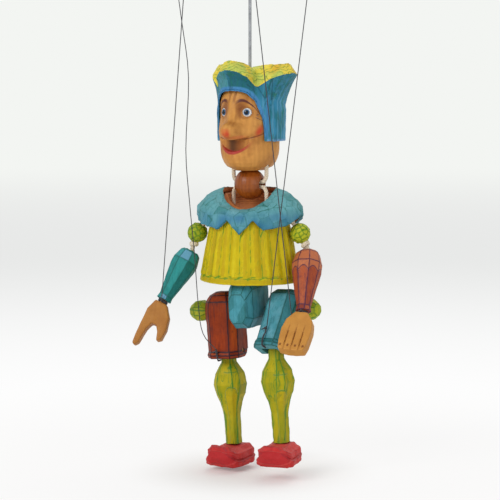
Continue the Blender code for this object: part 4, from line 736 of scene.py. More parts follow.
class CarvedPiece:
    """A finished piece carved from the copy of one solid."""

    def __init__(self, node: str, carving: Carving, sculpt: Optional[Sculptor] = None,
                 painter: Optional[Painter] = None, zone: Optional[Zone] = None) -> None:
        """Carve the copy of a solid, and store where its facets, edges and paint are.

        Args:
            node: the solid.
            carving: how it is cut.
            sculpt: extra height along the normal at a point.
            painter: colour and share of the paint at a point.
            zone: share of a second finish at a point.
        """
        self.node = node
        self.piece = merged_copy(node, node + "_carved")
        self.mesh = self.piece.data
        self._read_facets(carving)
        apply_modifier(self.piece, "REMESH", mode="VOXEL", voxel_size=carving.fine, use_smooth_shade=True)
        apply_modifier(self.piece, "SMOOTH", factor=0.5, iterations=carving.soften)
        self.mesh = self.piece.data
        self._mark(carving, sculpt, painter, zone)

    def _read_facets(self, carving: Carving) -> None:
        """Group the solid's triangles into facets and sample the edges between them.

        Args:
            carving: how the piece is cut.
        """
        shape = bmesh.new()
        shape.from_mesh(self.mesh)
        bmesh.ops.recalc_face_normals(shape, faces=shape.faces)
        shape.faces.ensure_lookup_table()
        smooth_edges = self._sample_edges(shape, carving)
        self._tint_facets(shape, smooth_edges)
        self.surface = BVHTree.FromBMesh(shape)
        shape.free()

    def _sample_edges(self, shape: bmesh.types.BMesh, carving: Carving) -> set[int]:
        """Keep points along the drawn edges.

        Args:
            shape: the solid's triangles.
            carving: which edges are drawn.

        Returns:
            The edges inside a facet, by index.
        """
        limit = math.radians(carving.edge_angle)
        marks = []
        smooth_edges = set()
        for line in shape.edges:
            if len(line.link_faces) != 2:
                continue
            turn = line.calc_face_angle_signed(0.0)
            if abs(turn) < limit:
                smooth_edges.add(line.index)
                continue
            if carving.valleys and turn > 0.0:
                continue
            start, end = (corner.co for corner in line.verts)
            if carving.lengthwise and abs((end - start).normalized().z) < 0.6:
                continue
            steps = max(1, int((end - start).length / MARK_SPACING))
            marks += [start.lerp(end, step / steps) for step in range(steps + 1)]
        self.marks = point_tree(marks or [Vector((9, 9, 9))])
        return smooth_edges

    def _tint_facets(self, shape: bmesh.types.BMesh, smooth_edges: set[int]) -> None:
        """Draw one shade for each facet, in the order of the triangles.

        Args:
            shape: the solid's triangles.
            smooth_edges: the edges inside a facet, by index.
        """
        draw = random.Random(self.node)
        self.tint = [-1.0] * len(shape.faces)
        for face in shape.faces:
            if self.tint[face.index] >= 0.0:
                continue
            shade = draw.random()
            self.tint[face.index] = shade
            front = [face]
            while front:
                inner = (line for line in front.pop().edges if line.index in smooth_edges)
                beside = [other for line in inner for other in line.link_faces]
                for other in beside:
                    if self.tint[other.index] < 0.0:
                        self.tint[other.index] = shade
                        front.append(other)

    def _mark(self, carving: Carving, sculpt: Optional[Sculptor], painter: Optional[Painter],
              zone: Optional[Zone]) -> None:
        """Cut the unevenness and store the attributes.

        Args:
            carving: how the piece is cut.
            sculpt: extra height at a point.
            painter: paint at a point.
            zone: share of a second finish at a point.
        """
        kept = {name: [] for name in ("edge", "pool", "facet", "paint", "paint_share", "top")}
        places = []
        seed = Vector((len(self.node) * 0.37, sum(map(ord, self.node)) * 0.011, 0.5))
        for corner in self.mesh.vertices:
            spot, normal = corner.co.copy(), corner.normal.copy()
            gap = self.marks.find(spot + EDGE_WANDER * noise.noise_vector(spot * 240.0))[2]
            edge = 1.0 - ease(gap, 0.15 * carving.edge_width, carving.edge_width)
            pool = 1.0 - ease(gap, 0.0, 4.0 * carving.edge_width)
            _foot, flat, face, _gap = self.surface.find_nearest(spot)
            tint = self.tint[face]
            rise = carving.wave * noise.noise(spot / carving.wave_size + seed)
            if carving.chip:
                scaled = Vector((spot.x, spot.y, spot.z * carving.chip_stretch)) / carving.chip + seed
                (first, second, *_rest), centres = noise.voronoi(scaled)
                rise += carving.chip_depth * ((first / second) ** 2 - 0.4)
                tint = 0.4 * tint + 0.6 * abs(noise.cell(centres[0] * 7.3))
                ridge = 1.0 - ease((second - first) * carving.chip, 0.0, 0.0007)
                edge = max(edge, carving.chip_line * ridge)
            if sculpt:
                rise += sculpt(spot, normal)
            top = zone(spot, flat) if zone else 0.0
            colour, share = painter(spot, flat) if painter else (UNPAINTED, 0.0)
            for values, mark in zip(kept.values(), (edge * (1.0 - top), pool, tint, colour, share, top)):
                values.append(mark)
            places.extend(spot + rise * normal)
        self.mesh.vertices.foreach_set("co", places)
        for name, values in kept.items():
            store(self.mesh, name, values)
        self.mesh.update()

    def dress(self, material: bpy.types.Material, slot: str, body: str) -> bpy.types.Object:
        """Give the piece its material and body, and let it stand for its solid.

        Args:
            material: its finish.
            slot: the record's material slot.
            body: the body that carries it.

        Returns:
            The piece.
        """
        return dress(self.piece, material, slot, body, self.node)


def dress(piece: bpy.types.Object, material: bpy.types.Material, slot: str, body: str,
          *nodes: str) -> bpy.types.Object:
    """Finish a piece: material, body and the solids it stands for.

    Args:
        piece: the new piece.
        material: its finish.
        slot: not used.
        body: the body that carries it.
        nodes: the solids it replaces.

    Returns:
        The piece.
    """
    piece.data.materials.clear()
    piece.data.materials.append(material)
    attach(piece, body)
    if nodes:
        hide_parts(*nodes)
    LOG.info("%s rides on %s", piece.name, body)
    return piece


def refinish(material: bpy.types.Material, *nodes: str) -> None:
    """Give solids whose shape is right a better material.

    Args:
        material: the finish.
        nodes: the solids.
    """
    for node in nodes:
        solid = frame["nodes"][node]
        solid.data.materials.clear()
        solid.data.materials.append(material)
        LOG.info("%s keeps its solid", node)


def smooth_route(points: Iterable[Sequence[float]], per_span: int) -> list[Vector]:
    """Round a route through its points.

    Args:
        points: the points it passes.
        per_span: steps between two of them.

    Returns:
        The rounded route.
    """
    given = [Vector(point) for point in points]
    ends = [2 * given[0] - given[1]] + given + [2 * given[-1] - given[-2]]
    route = []
    for place in range(1, len(ends) - 2):
        before, start, end, after = ends[place - 1:place + 3]
        for step in range(per_span):
            t = step / per_span
            bend = t * t * (2 * before - 5 * start + 4 * end - after)
            route.append(0.5 * (2 * start + t * (end - before) + bend
                                + t ** 3 * (3 * start - before - 3 * end + after)))
    return route + [given[-1]]


def even_route(points: Sequence[Vector], spacing: float) -> list[Vector]:
    """The same route with points at an even spacing.

    Args:
        points: the route.
        spacing: metres between two points.

    Returns:
        The new points.
    """
    route = [points[0].copy()]
    left = spacing
    for start, end in zip(points, points[1:]):
        length = (end - start).length
        done = 0.0
        while length - done >= left:
            done += left
            route.append(start.lerp(end, done / length))
            left = spacing
        left -= length - done
    if (route[-1] - points[-1]).length > 0.3 * spacing:
        route.append(points[-1].copy())
    return route


def tube_curve(name: str, points: Sequence[Vector], radius: float, sides: int = 4) -> bpy.types.Object:
    """A round tube along a route, made a mesh.

    Args:
        name: the piece.
        points: its centre line.
        radius: its radius.
        sides: quarter sides of the tube.

    Returns:
        The piece.
    """
    line = bpy.data.curves.new(name, "CURVE")
    line.dimensions = "3D"
    line.bevel_depth = radius
    line.bevel_resolution = sides - 2
    line.use_fill_caps = True
    spline = line.splines.new("POLY")
    spline.points.add(len(points) - 1)
    for knot, point in zip(spline.points, points):
        knot.co = (*point, 1.0)
    piece = bpy.data.objects.new(name, line)
    bpy.context.scene.collection.objects.link(piece)
    focus(piece)
    bpy.ops.object.convert(target="MESH")
    piece = bpy.context.view_layer.objects.active
    piece.name = name
    bpy.ops.object.mode_set(mode="EDIT")
    bpy.ops.mesh.select_all(action="SELECT")
    bpy.ops.mesh.remove_doubles(threshold=0.1 * JOIN_GAP)
    bpy.ops.mesh.normals_make_consistent(inside=False)
    bpy.ops.object.mode_set(mode="OBJECT")
    bpy.ops.object.shade_smooth()
    return piece


def twisted(name: str, points: Sequence[Vector], radius: float, pitch: float,
            strands: int = 3) -> bpy.types.Object:
    """A laid cord of several strands along a route.

    Args:
        name: the piece.
        points: its centre line.
        radius: its outer radius.
        pitch: length of one turn of a strand.
        strands: how many strands.

    Returns:
        The piece, with the gaps between strands stored as its edges.
    """
    route = even_route(points, pitch / TURN_STEPS)
    reach = 0.50 * radius
    side = Vector((0.31, 0.87, 0.22)).normalized()
    pieces = []
    for strand in range(strands):
        across = side
        centre = []
        for place, point in enumerate(route):
            ahead = route[min(place + 1, len(route) - 1)] - route[max(place - 1, 0)]
            ahead.normalize()
            across = (across - across.dot(ahead) * ahead).normalized()
            turn = 2 * math.pi * (place / TURN_STEPS + strand / strands)
            centre.append(point + reach * (math.cos(turn) * across + math.sin(turn) * ahead.cross(across)))
        pieces.append(tube_curve(f"{name}_{strand}", centre, 0.56 * radius, 3))
    bpy.ops.object.select_all(action="DESELECT")
    for strand in pieces:
        strand.select_set(True)
    bpy.context.view_layer.objects.active = pieces[0]
    bpy.ops.object.join()
    cord = bpy.context.view_layer.objects.active
    cord.name = name
    line = point_tree(route)
    gaps = (line.find(corner.co)[2] for corner in cord.data.vertices)
    store(cord.data, "edge", [1.0 - ease(gap, reach, 0.92 * radius) for gap in gaps])
    return cord


def tied(name: str, points: Iterable[Sequence[float]], radius: float,
         per_span: int = 4) -> bpy.types.Object:
    """A rounded piece of two-stranded thread through some points."""
    return twisted(name, smooth_route(points, per_span), radius, THREAD_PITCH, 2)


def turned_about(point: Vector, name: str) -> Vector:
    """A point turned about one of the record's joints, to the joint's upper limit.

    Args:
        point: where it is at rest.
        name: the joint.

    Returns:
        Where it goes.
    """
    joint = next(joint for joint in frame["joints"] if joint["name"] == name)
    centre = Vector(joint["pos_m"])
    turn = Matrix.Rotation(math.radians(joint["range_deg"][1]), 3, Vector(joint["axis"]))
    return centre + turn @ (point - centre)


# The stage

@dataclass
class Stage:
    """Pale floor, soft light and the photograph's camera."""

    distance: float = 1.6
    azimuth: float = 17.0
    elevation: float = 5.0
    aim: tuple[float, float, float] = (0.0, 0.0, -0.3514)
    lens: float = 130.5
    floor_level: float = -0.5488
    floor_radius: float = 7.0
    haze: Colour = srgb(243, 245, 242)

    def build(self) -> None:
        """Add the floor, the world, the lamps and the camera."""
        self._floor()
        self._world()
        for name, place, size, power in (("key_lamp", (-1.2, -2.2, 1.3), 1.4, 37.0),
                                         ("fill_lamp", (2.0, -1.6, 0.5), 1.8, 16.0),
                                         ("top_lamp", (0.2, 0.6, 1.7), 1.6, 14.0)):
            self._lamp(name, place, size, power)
        view = bpy.data.cameras.new("camera")
        view.lens = self.lens
        view.sensor_width = 36.0
        view.clip_end = 50.0
        camera = bpy.data.objects.new("camera", view)
        bpy.context.scene.collection.objects.link(camera)
        turn, rise = math.radians(self.azimuth), math.radians(self.elevation)
        way = Vector((math.sin(turn) * math.cos(rise), -math.cos(turn) * math.cos(rise), math.sin(rise)))
        camera.location = Vector(self.aim) + self.distance * way
        camera.rotation_euler = way.to_track_quat("Z", "Y").to_euler()
        bpy.context.scene.camera = camera
        bpy.context.scene.view_settings.view_transform = "Standard"

    def _lamp(self, name: str, place: Sequence[float], size: float, power: float) -> None:
        """Add one soft lamp that looks at the puppet.

        Args:
            name: the lamp.
            place: where it stands, from what it looks at.
            size: its width.
            power: its power in watts.
        """
        glow = bpy.data.lights.new(name, "AREA")
        glow.size = size
        glow.energy = power
        lamp = bpy.data.objects.new(name, glow)
        bpy.context.scene.collection.objects.link(lamp)
        lamp.location = Vector(self.aim) + Vector(place)
        lamp.rotation_euler = Vector(place).to_track_quat("Z", "Y").to_euler()

    def _seen(self, shader: Nodes) -> Value:
        """1 on rays that the eye or a shiny surface sees.

        Args:
            shader: the node tree.

        Returns:
            The mask.
        """
        camera = shader.node("ShaderNodeLightPath", output=0)
        glossy = shader.node("ShaderNodeLightPath", output=3)
        through = shader.node("ShaderNodeLightPath", output=6)
        return (camera + glossy + through).step(0.0, 1.0)

    def _floor(self) -> None:
        """Add a round floor that is white near the puppet and grey far away."""
        bpy.ops.object.select_all(action="DESELECT")
        bpy.ops.mesh.primitive_circle_add(vertices=64, radius=self.floor_radius, fill_type="NGON",
                                          location=(0, 0, self.floor_level))
        floor = bpy.context.view_layer.objects.active
        floor.name = "floor"
        shader = Shader("pale_floor")
        spot = shader.node("ShaderNodeTexCoord", output=3)
        far = shader.node("ShaderNodeVectorMath", {"operation": "LENGTH"}, {0: spot}, 1)
        tone = shader.mix(srgb(254, 254, 254), srgb(232, 233, 232), far.step(0.25, 2.2))
        tone = shader.mix(tone, self.haze, far.step(2.4, 0.97 * self.floor_radius))
        shader.finish(Base_Color=srgb(246, 243, 240), Roughness=0.7)
        glow = shader.node("ShaderNodeEmission", None, {"Color": tone, "Strength": 1.0})
        share = self._seen(shader) * (far.step(0.02, 0.12) * 0.60 + far.step(0.16, 0.55) * 0.20 + 0.20)
        mixed = shader.node("ShaderNodeMixShader", None,
                            {0: share, 1: Value(shader, shader.surface.outputs[0]), 2: glow})
        shader.feed(shader.tree.nodes["Material Output"].inputs["Surface"], mixed)
        floor.data.materials.append(shader.material)

    def _world(self) -> None:
        """Set an even sky for light and a pale grey for the eye."""
        world = bpy.data.worlds.new("studio")
        bpy.context.scene.world = world
        world.use_nodes = True
        shader = Nodes(world.node_tree)
        sky = shader.tree.nodes["Background"]
        shader.feed(sky.inputs["Color"], (1.0, 1.0, 1.0, 1.0))
        shader.feed(sky.inputs["Strength"], 0.34)
        seen = shader.node("ShaderNodeBackground", None, {"Color": self.haze, "Strength": 1.0})
        mixed = shader.node("ShaderNodeMixShader", None,
                            {0: self._seen(shader), 1: Value(shader, sky.outputs[0]), 2: seen})
        shader.feed(shader.tree.nodes["World Output"].inputs["Surface"], mixed)


# The puppet

@dataclass(frozen=True)
class Place:
    """A frame of the puppet: where it stands and how it is turned.

    Attributes:
        origin: its zero.
        across: its X, to the puppet's left.
        up: its Z.
    """

    origin: tuple[float, float, float]
    across: tuple[float, float, float] = (1.0, 0.0, 0.0)
    up: tuple[float, float, float] = (0.0, 0.0, 1.0)

    @cached_property
    def turn(self) -> Matrix:
        """The turn from the frame to the world.

        Returns:
            The matrix.
        """
        x = Vector(self.across).normalized()
        y = Vector(self.up).cross(x).normalized()
        return Matrix((x, y, x.cross(y))).transposed()

    def local(self, spot: Vector) -> Vector:
        """A world point in the frame."""
        return (spot - Vector(self.origin)) @ self.turn

    def world(self, spot: Sequence[float]) -> Vector:
        """A point of the frame in the world."""
        return Vector(self.origin) + self.turn @ Vector(spot)


HEAD_PLACE = Place((0.0, 0.0, SOLE), (0.96126, -0.27564, 0.0))
NECK_PLACE = Place((0.0, 0.0, -0.293), (0.96126, -0.27564, 0.0))


def near(value: float, centre: float, half: float) -> float:
    """1 on a band about a centre, falling softly to 0 at its borders."""
    return 1.0 - ease(abs(value - centre), 0.55 * half, 1.3 * half)


def layered(strokes: Iterable[tuple[Colour, float]]) -> tuple[Colour, float]:
    """Strokes of paint laid over one another.

    Args:
        strokes: colour and share of each, the lowest first.

    Returns:
        The mixed colour and its share.
    """
    mixed, total = Vector(UNPAINTED), 0.0
    for colour, share in strokes:
        if share <= 0.0:
            continue
        after = 1.0 - (1.0 - total) * (1.0 - share)
        mixed = (mixed * (after - share) + Vector(colour) * share) / after
        total = after
    return tuple(mixed), total


@dataclass
class Control:
    """Hand control above the picture: turned handle, two bars, rod and hook."""

    wood: Carving = Carving(fine=0.0008, soften=4, edge_angle=60.0, wave=0.0001)

    def build(self) -> None:
        """Dress the control."""
        timber = CONTROL_WOOD.material()
        for node, body in (("control_handle", "control"), ("hand_bar", "control"),
                           ("hand_bar_arm", "control"), ("leg_bar", "leg_rocker")):
            CarvedPiece(node, self.wood).dress(timber, "control_wood", body)
        refinish(STEEL.material(), "control_rod", "hanging_hook", "leg_bar_pin", "leg_bar_washer",
                 "head_screw_eye")


@dataclass
class Head:
    """Carved face, enamel eyes and the four-peaked hat."""

    eye_spread: float = 0.0113
    eye_height: float = 0.3150
    eye_radius: float = 0.00475
    iris: float = 0.0029
    pupil: float = 0.0020
    nose_height: float = 0.2974
    nose_swell: float = 0.0034
    cheek_height: float = 0.2992
    mouth_height: float = 0.2913
    lip_height: float = 0.2800
    hat_brow: float = 0.3335
    hat_flap: float = 0.2900
    hat_angle: float = 64.0
    flare_low: float = 0.3170
    flare_high: float = 0.3490
    stripe: float = 11.0        # degrees between the light stripes of a flap
    face_back: float = 0.002    # nothing is painted behind this

    def build(self) -> None:
        """Carve and paint the head, its eyes and its hat."""
        face = Carving(fine=0.00052, soften=4, edge_angle=200.0, wave=0.00012, wave_size=0.007)
        CarvedPiece("head", face, self._cut, self._paint).dress(FACE.material(), "bare_wood", "control")
        enamel = EyeEnamel().material()
        ball = Carving(fine=0.0003, soften=5, edge_angle=200.0, wave=0.0)
        for side, aside in (("right", -0.45), ("left", 1.05)):
            outward = Vector((aside * self.eye_spread, -0.0262, 0.0005)).normalized()
            node = frame["nodes"]["eye_" + side]
            corners = [HEAD_PLACE.local(corner.co) for corner in node.data.vertices]
            centre = sum(corners, Vector()) / len(corners)
            eye = CarvedPiece(node.name, ball, self._cornea(centre, outward), self._look(centre, outward))
            eye.dress(enamel, "eye_gloss", "control")
        peaks = Carving(fine=0.0006, soften=2, edge_angle=17.0, edge_width=0.0008, lengthwise=True,
                        wave=0.00030, wave_size=0.005, chip=0.0080, chip_depth=0.00030, chip_stretch=0.30,
                        chip_line=0.35)
        hat = CarvedPiece("hat", peaks, self._flare, self._hat, self._top)
        hat.dress(HAT.material(), "hat_blue", "control")

    def _strokes(self, spot: Vector) -> list[Stroke]:
        """Every stroke of paint and knife on the face at a point.

        Args:
            spot: the point.

        Returns:
            The strokes, the lowest first.
        """
        p = HEAD_PLACE.local(spot)
        if p.y > self.face_back:
            return []
        turn = math.degrees(math.atan2(p.x, -p.y))
        return [*self._eye_strokes(p, spot), *self._nose_strokes(p, turn), *self._mouth_strokes(p, turn),
                *self._wrinkles(p, turn)]

    def _eye_strokes(self, p: Vector, spot: Vector) -> Iterable[Stroke]:
        """Painted shade over the lids and round the eyes, brows, the lines of the forehead and the painted
        shade beside the nose's bridge.

        Args:
            p: the point in the head's frame.
            spot: the point in the world.

        Returns:
            The strokes, the lowest first.
        """
        out = abs(p.x) - self.eye_spread
        rise = p.z - self.eye_height
        lid = math.hypot(out + 0.0040, 0.8 * (rise - 0.0050))
        rim = abs(math.hypot(out, rise) - self.eye_radius)
        brow = 0.0104 - 86.0 * (out + 0.0023) ** 2
        # painted shade in the socket between brow and eye, and round the eye's rim
        yield BROWN, 0.72 * (1.0 - ease(lid, 0.0008, 0.0062)), 0.0
        yield BROWN, 0.42 * (1.0 - ease(rim, 0.0002, 0.0018)), 0.0
        yield PLUM, 0.94 * near(rise, brow, 0.00125 - 0.06 * out) * near(out, 0.0006, 0.0076), -0.00015
        for x, share in ((-0.0030, 0.40), (0.0020, 0.55)):
            drawn = near(p.x, x + 0.0006 * noise.noise(spot * 120.0), 0.0013) * near(p.z, 0.3290, 0.0058)
            yield BROWN, share * drawn, -0.00030 * drawn
        # painted shade beside the nose's bridge
        bridge = near(abs(p.x), 0.0062, 0.0022) * near(p.z, 0.3140, 0.0052)
        yield BROWN, 0.40 * bridge, 0.0

    def _nose_strokes(self, p: Vector, turn: float) -> Iterable[Stroke]:
        """Red tip of the nose, the blush below it and the red cheeks.

        Args:
            p: the point in the head's frame.
            turn: degrees round from the front.

        Returns:
            The strokes, the lowest first.
        """
        tip = math.hypot((p.x - 0.0012) / 0.0023, (p.z - self.nose_height) / 0.0033)
        yield ROUGE, 0.80 * (1.0 - ease(tip, 0.15, 1.25)) * ease(-p.y, 0.0310, 0.0345), 0.0
        yield BLUSH, 0.45 * near(p.z, 0.2936, 0.0018) * near(turn, 4.0, 22.0), 0.0
        rise = p.z - self.cheek_height
        cheek = math.hypot((abs(turn) - 51.0 - 900.0 * rise) / 9.5, rise / 0.0060)
        yield CHEEK_RED, 0.80 * (1.0 - ease(cheek, 0.05, 1.2)), 0.0

    def _mouth_strokes(self, p: Vector, turn: float) -> Iterable[Stroke]:
        """Line of the smile, painted shade inside the mouth, darkest in its middle, and the lower lip.

        Args:
            p: the point in the head's frame.
            turn: degrees round from the front.

        Returns:
            The strokes, the lowest first.
        """
        smile = self.mouth_height + 0.0053 * (turn / 60.0) ** 2
        line = near(p.z, smile, 0.0006) * near(abs(turn), 38.0, 26.0)
        yield SMILE_BROWN, 0.75 * line, -0.0005 * line
        # painted shade inside the carved mouth, darkest in its middle, browner towards its corners
        inside = 1.0 - ease(math.hypot(p.x / 0.025, p.y / 0.0285), 0.84, 0.95)
        inside *= near(p.z, 0.2850, 0.0085) * ease(-p.y, 0.002, 0.008)
        mouth_shade = Vector(MOUTH_PAINTED_SHADE).lerp(Vector(MOUTH_BROWN), ease(abs(p.x + 0.003), 0.0, 0.009))
        yield tuple(mouth_shade), 0.95 * inside, 0.0
        lip = self.lip_height + 0.0060 * (p.x / 0.0135) ** 2
        red = near(p.z, lip, 0.0016) * near(p.x, 0.0006, 0.0138) * ease(-p.y, 0.012, 0.018)
        yield LIP_RED, 0.92 * red, 0.0004 * red

    def _wrinkles(self, p: Vector, turn: float) -> Iterable[Stroke]:
        """Two fine cuts at the outer corner of each eye.

        Args:
            p: the point in the head's frame.
            turn: degrees round from the front.

        Returns:
            The strokes, the lowest first.
        """
        for first, last, top, low in ((46.0, 51.5, 0.3127, 0.3134), (44.5, 55.5, 0.3106, 0.3083)):
            along = (abs(turn) - first) / (last - first)
            drawn = near(p.z, top + (low - top) * along, 0.00042) * near(along, 0.5, 0.55)
            yield WRINKLE_BROWN, 0.85 * drawn, -0.00025 * drawn

    def _paint(self, spot: Vector, _normal: Vector) -> tuple[Colour, float]:
        """Paint of the face at a point."""
        return layered((colour, share) for colour, share, _rise in self._strokes(spot))

    def _cut(self, spot: Vector, _normal: Vector) -> float:
        """Fine cuts of the face at a point.

        Args:
            spot: the point.
            _normal: the normal there, not needed.

        Returns:
            Rise along the normal in metres.
        """
        p = HEAD_PLACE.local(spot)
        bulb = math.hypot(p.x / 0.0125, (p.z - self.nose_height - 0.0020) / 0.0080)
        broad = self.nose_swell * (1.0 - ease(bulb, 0.25, 1.15)) * ease(-p.y, 0.0225, 0.0275)
        return broad + sum(rise for _colour, _share, rise in self._strokes(spot))

    def _look(self, centre: Vector, outward: Vector) -> Painter:
        """Painter of one eye: white, iris, pupil and a painted highlight.

        Args:
            centre: the eye's middle.
            outward: the way it looks.

        Returns:
            The painter.
        """
        highlight_way = (outward + Vector((-0.24, 0.0, 0.22))).normalized()

        def paint(spot: Vector, _normal: Vector) -> tuple[Colour, float]:
            """Enamel at a point.

            Args:
                spot: the point.
                _normal: the normal there, not needed.

            Returns:
                Colour and share of the paint.
            """
            way = (HEAD_PLACE.local(spot) - centre).normalized()
            off = self.eye_radius * way.angle(outward)
            edge = 0.00022
            ring = 1.0 - ease(off, self.iris - edge, self.iris + edge)
            inner = 1.0 - ease(off, 0.80 * self.iris - edge, 0.84 * self.iris + edge)
            dot = 1.0 - ease(off, self.pupil - edge, self.pupil + edge)
            # painted highlight: a small white dot up and aside from the pupil
            eye_highlight = 1.0 - ease(self.eye_radius * way.angle(highlight_way), 0.0001, 0.0004)
            return layered(((EYE_WHITE, 1.0), (IRIS_RING, ring), (IRIS_BLUE, inner), (PUPIL, dot),
                            (EYE_PAINTED_HIGHLIGHT, eye_highlight)))
        return paint

    def _cornea(self, centre: Vector, outward: Vector) -> Sculptor:
        """Sculptor of one eye's slight bulge over the iris.

        Args:
            centre: the eye's middle.
            outward: the way it looks.

        Returns:
            The sculptor.
        """
        def raise_iris(spot: Vector, _normal: Vector) -> float:
            """Rise at a point."""
            off = self.eye_radius * (HEAD_PLACE.local(spot) - centre).angle(outward)
            return 0.00025 * (1.0 - ease(off, 0.6 * self.iris, 1.2 * self.iris))
        return raise_iris

    def _hat(self, spot: Vector, _normal: Vector) -> tuple[Colour, float]:
        """Dark front, striped flaps, and a lighter bevel round the face and under the flaps.

        Args:
            spot: the point.
            _normal: the normal there, not needed.

        Returns:
            Colour and share of the paint.
        """
        p = HEAD_PLACE.local(spot)
        angle = math.degrees(math.atan2(p.x, -p.y))
        turn = abs(angle) / self.hat_angle
        bow = math.sqrt(max(0.0, 1.0 - min(1.0, turn) ** 3))
        arch = self.hat_flap + (self.hat_brow - self.hat_flap) * bow
        above = p.z - arch
        steep = 0.0030 if turn < 0.8 else 0.0014
        band = 1.0 - ease(above, steep, 1.35 * steep)
        band = max(band, near(turn, 1.0, 0.045) * (1.0 - ease(p.z, 0.326, 0.332)))
        plain = 1.0 - band
        fold = abs(((angle + 4.0 * noise.noise(spot * 70.0)) / self.stripe) % 1.0 - 0.5)
        light = ease(fold, 0.28, 0.44) * ease(abs(angle), 46.0, 54.0)
        front = ease(angle, -6.0, 1.0) * (1.0 - ease(angle, 38.0, 48.0))
        corner = ease(-angle, 4.0, 9.0) * (1.0 - ease(-angle, 34.0, 44.0))
        leaf = ease(noise.noise(Vector((spot.x, spot.y, 0.25 * spot.z)) * 380.0), 0.05, 0.40)
        over = p.z - 0.0007 * math.sin(0.5 * angle) - self.hat_flap
        under = 1.0 - ease(over, 0.0009, 0.0019)
        high = ease(p.z + 0.004 * noise.noise(spot * 90.0), self.flare_low + 0.002, self.flare_low + 0.020)
        striped = light * (1.0 - 0.75 * high)
        return layered(((HAT_PEAK, 0.50 * high * plain), (HAT_FRONT, 0.60 * front * plain),
                        (HAT_CORNER, 0.60 * corner * plain), (HAT_STRIPE, 0.60 * striped * plain),
                        (HAT_LEAF, 0.45 * leaf * plain), (HAT_BAND, 0.80 * band), (HAT_BEVEL, 0.6 * under)))

    def _top(self, spot: Vector, normal: Vector) -> float:
        """1 on the bevelled tops of the peaks and inside the crown.

        Args:
            spot: the point.
            normal: the surface's normal there.

        Returns:
            The share, from 0 to 1.
        """
        outward = Vector((spot.x, spot.y, 0.0)).normalized()
        inside = ease(-normal.dot(outward), 0.15, 0.4)
        inside *= ease(spot.z - SOLE, self.hat_brow, self.hat_brow + 0.003)
        return max(ease(normal.z, 0.08, 0.16), inside)

    def _flare(self, spot: Vector, normal: Vector) -> float:
        """Hollow curve of the peaks where they flare from the flaps.

        Args:
            spot: the point.
            normal: the surface's normal there.

        Returns:
            Rise along the normal in metres.
        """
        share = (spot.z - SOLE - self.flare_low) / (self.flare_high - self.flare_low)
        outward = Vector((spot.x, spot.y, 0.0)).normalized()
        if not 0.0 < share < 1.0 or normal.dot(outward) < 0.3:
            return 0.0
        return -0.0017 * math.sin(math.pi * share)


@dataclass
class Neck:
    """Loose varnished ball on two cream loops."""

    cord: float = 0.0018
    half_route: tuple = ((0.0, 0.0023), (0.01238, 0.0023), (0.01481, 0.0029), (0.01621, 0.00491),
                         (0.0172, 0.00851), (0.0172, 0.020))

    def build(self) -> None:
        """Dress the ball and lay the loops."""
        ball = Carving(fine=0.0005, soften=5, edge_angle=50.0, wave=0.0002, wave_size=0.008)
        CarvedPiece("neck_ball", ball).dress(VARNISHED.material(), "dark_wood", "neck")
        cream = CREAM.material()
        for node, sign, body in (("neck_cord_upper", 1.0, "control"), ("neck_cord_lower", -1.0, "torso")):
            half = [NECK_PLACE.world((x, 0.0, sign * z)) for x, z in self.half_route]
            other = [NECK_PLACE.world((-x, 0.0, sign * z)) for x, z in self.half_route[:0:-1]]
            cord = twisted(node + "_laid", smooth_route(other + half, 5), self.cord, 0.0060)
            dress(cord, cream, "cotton", body, node)


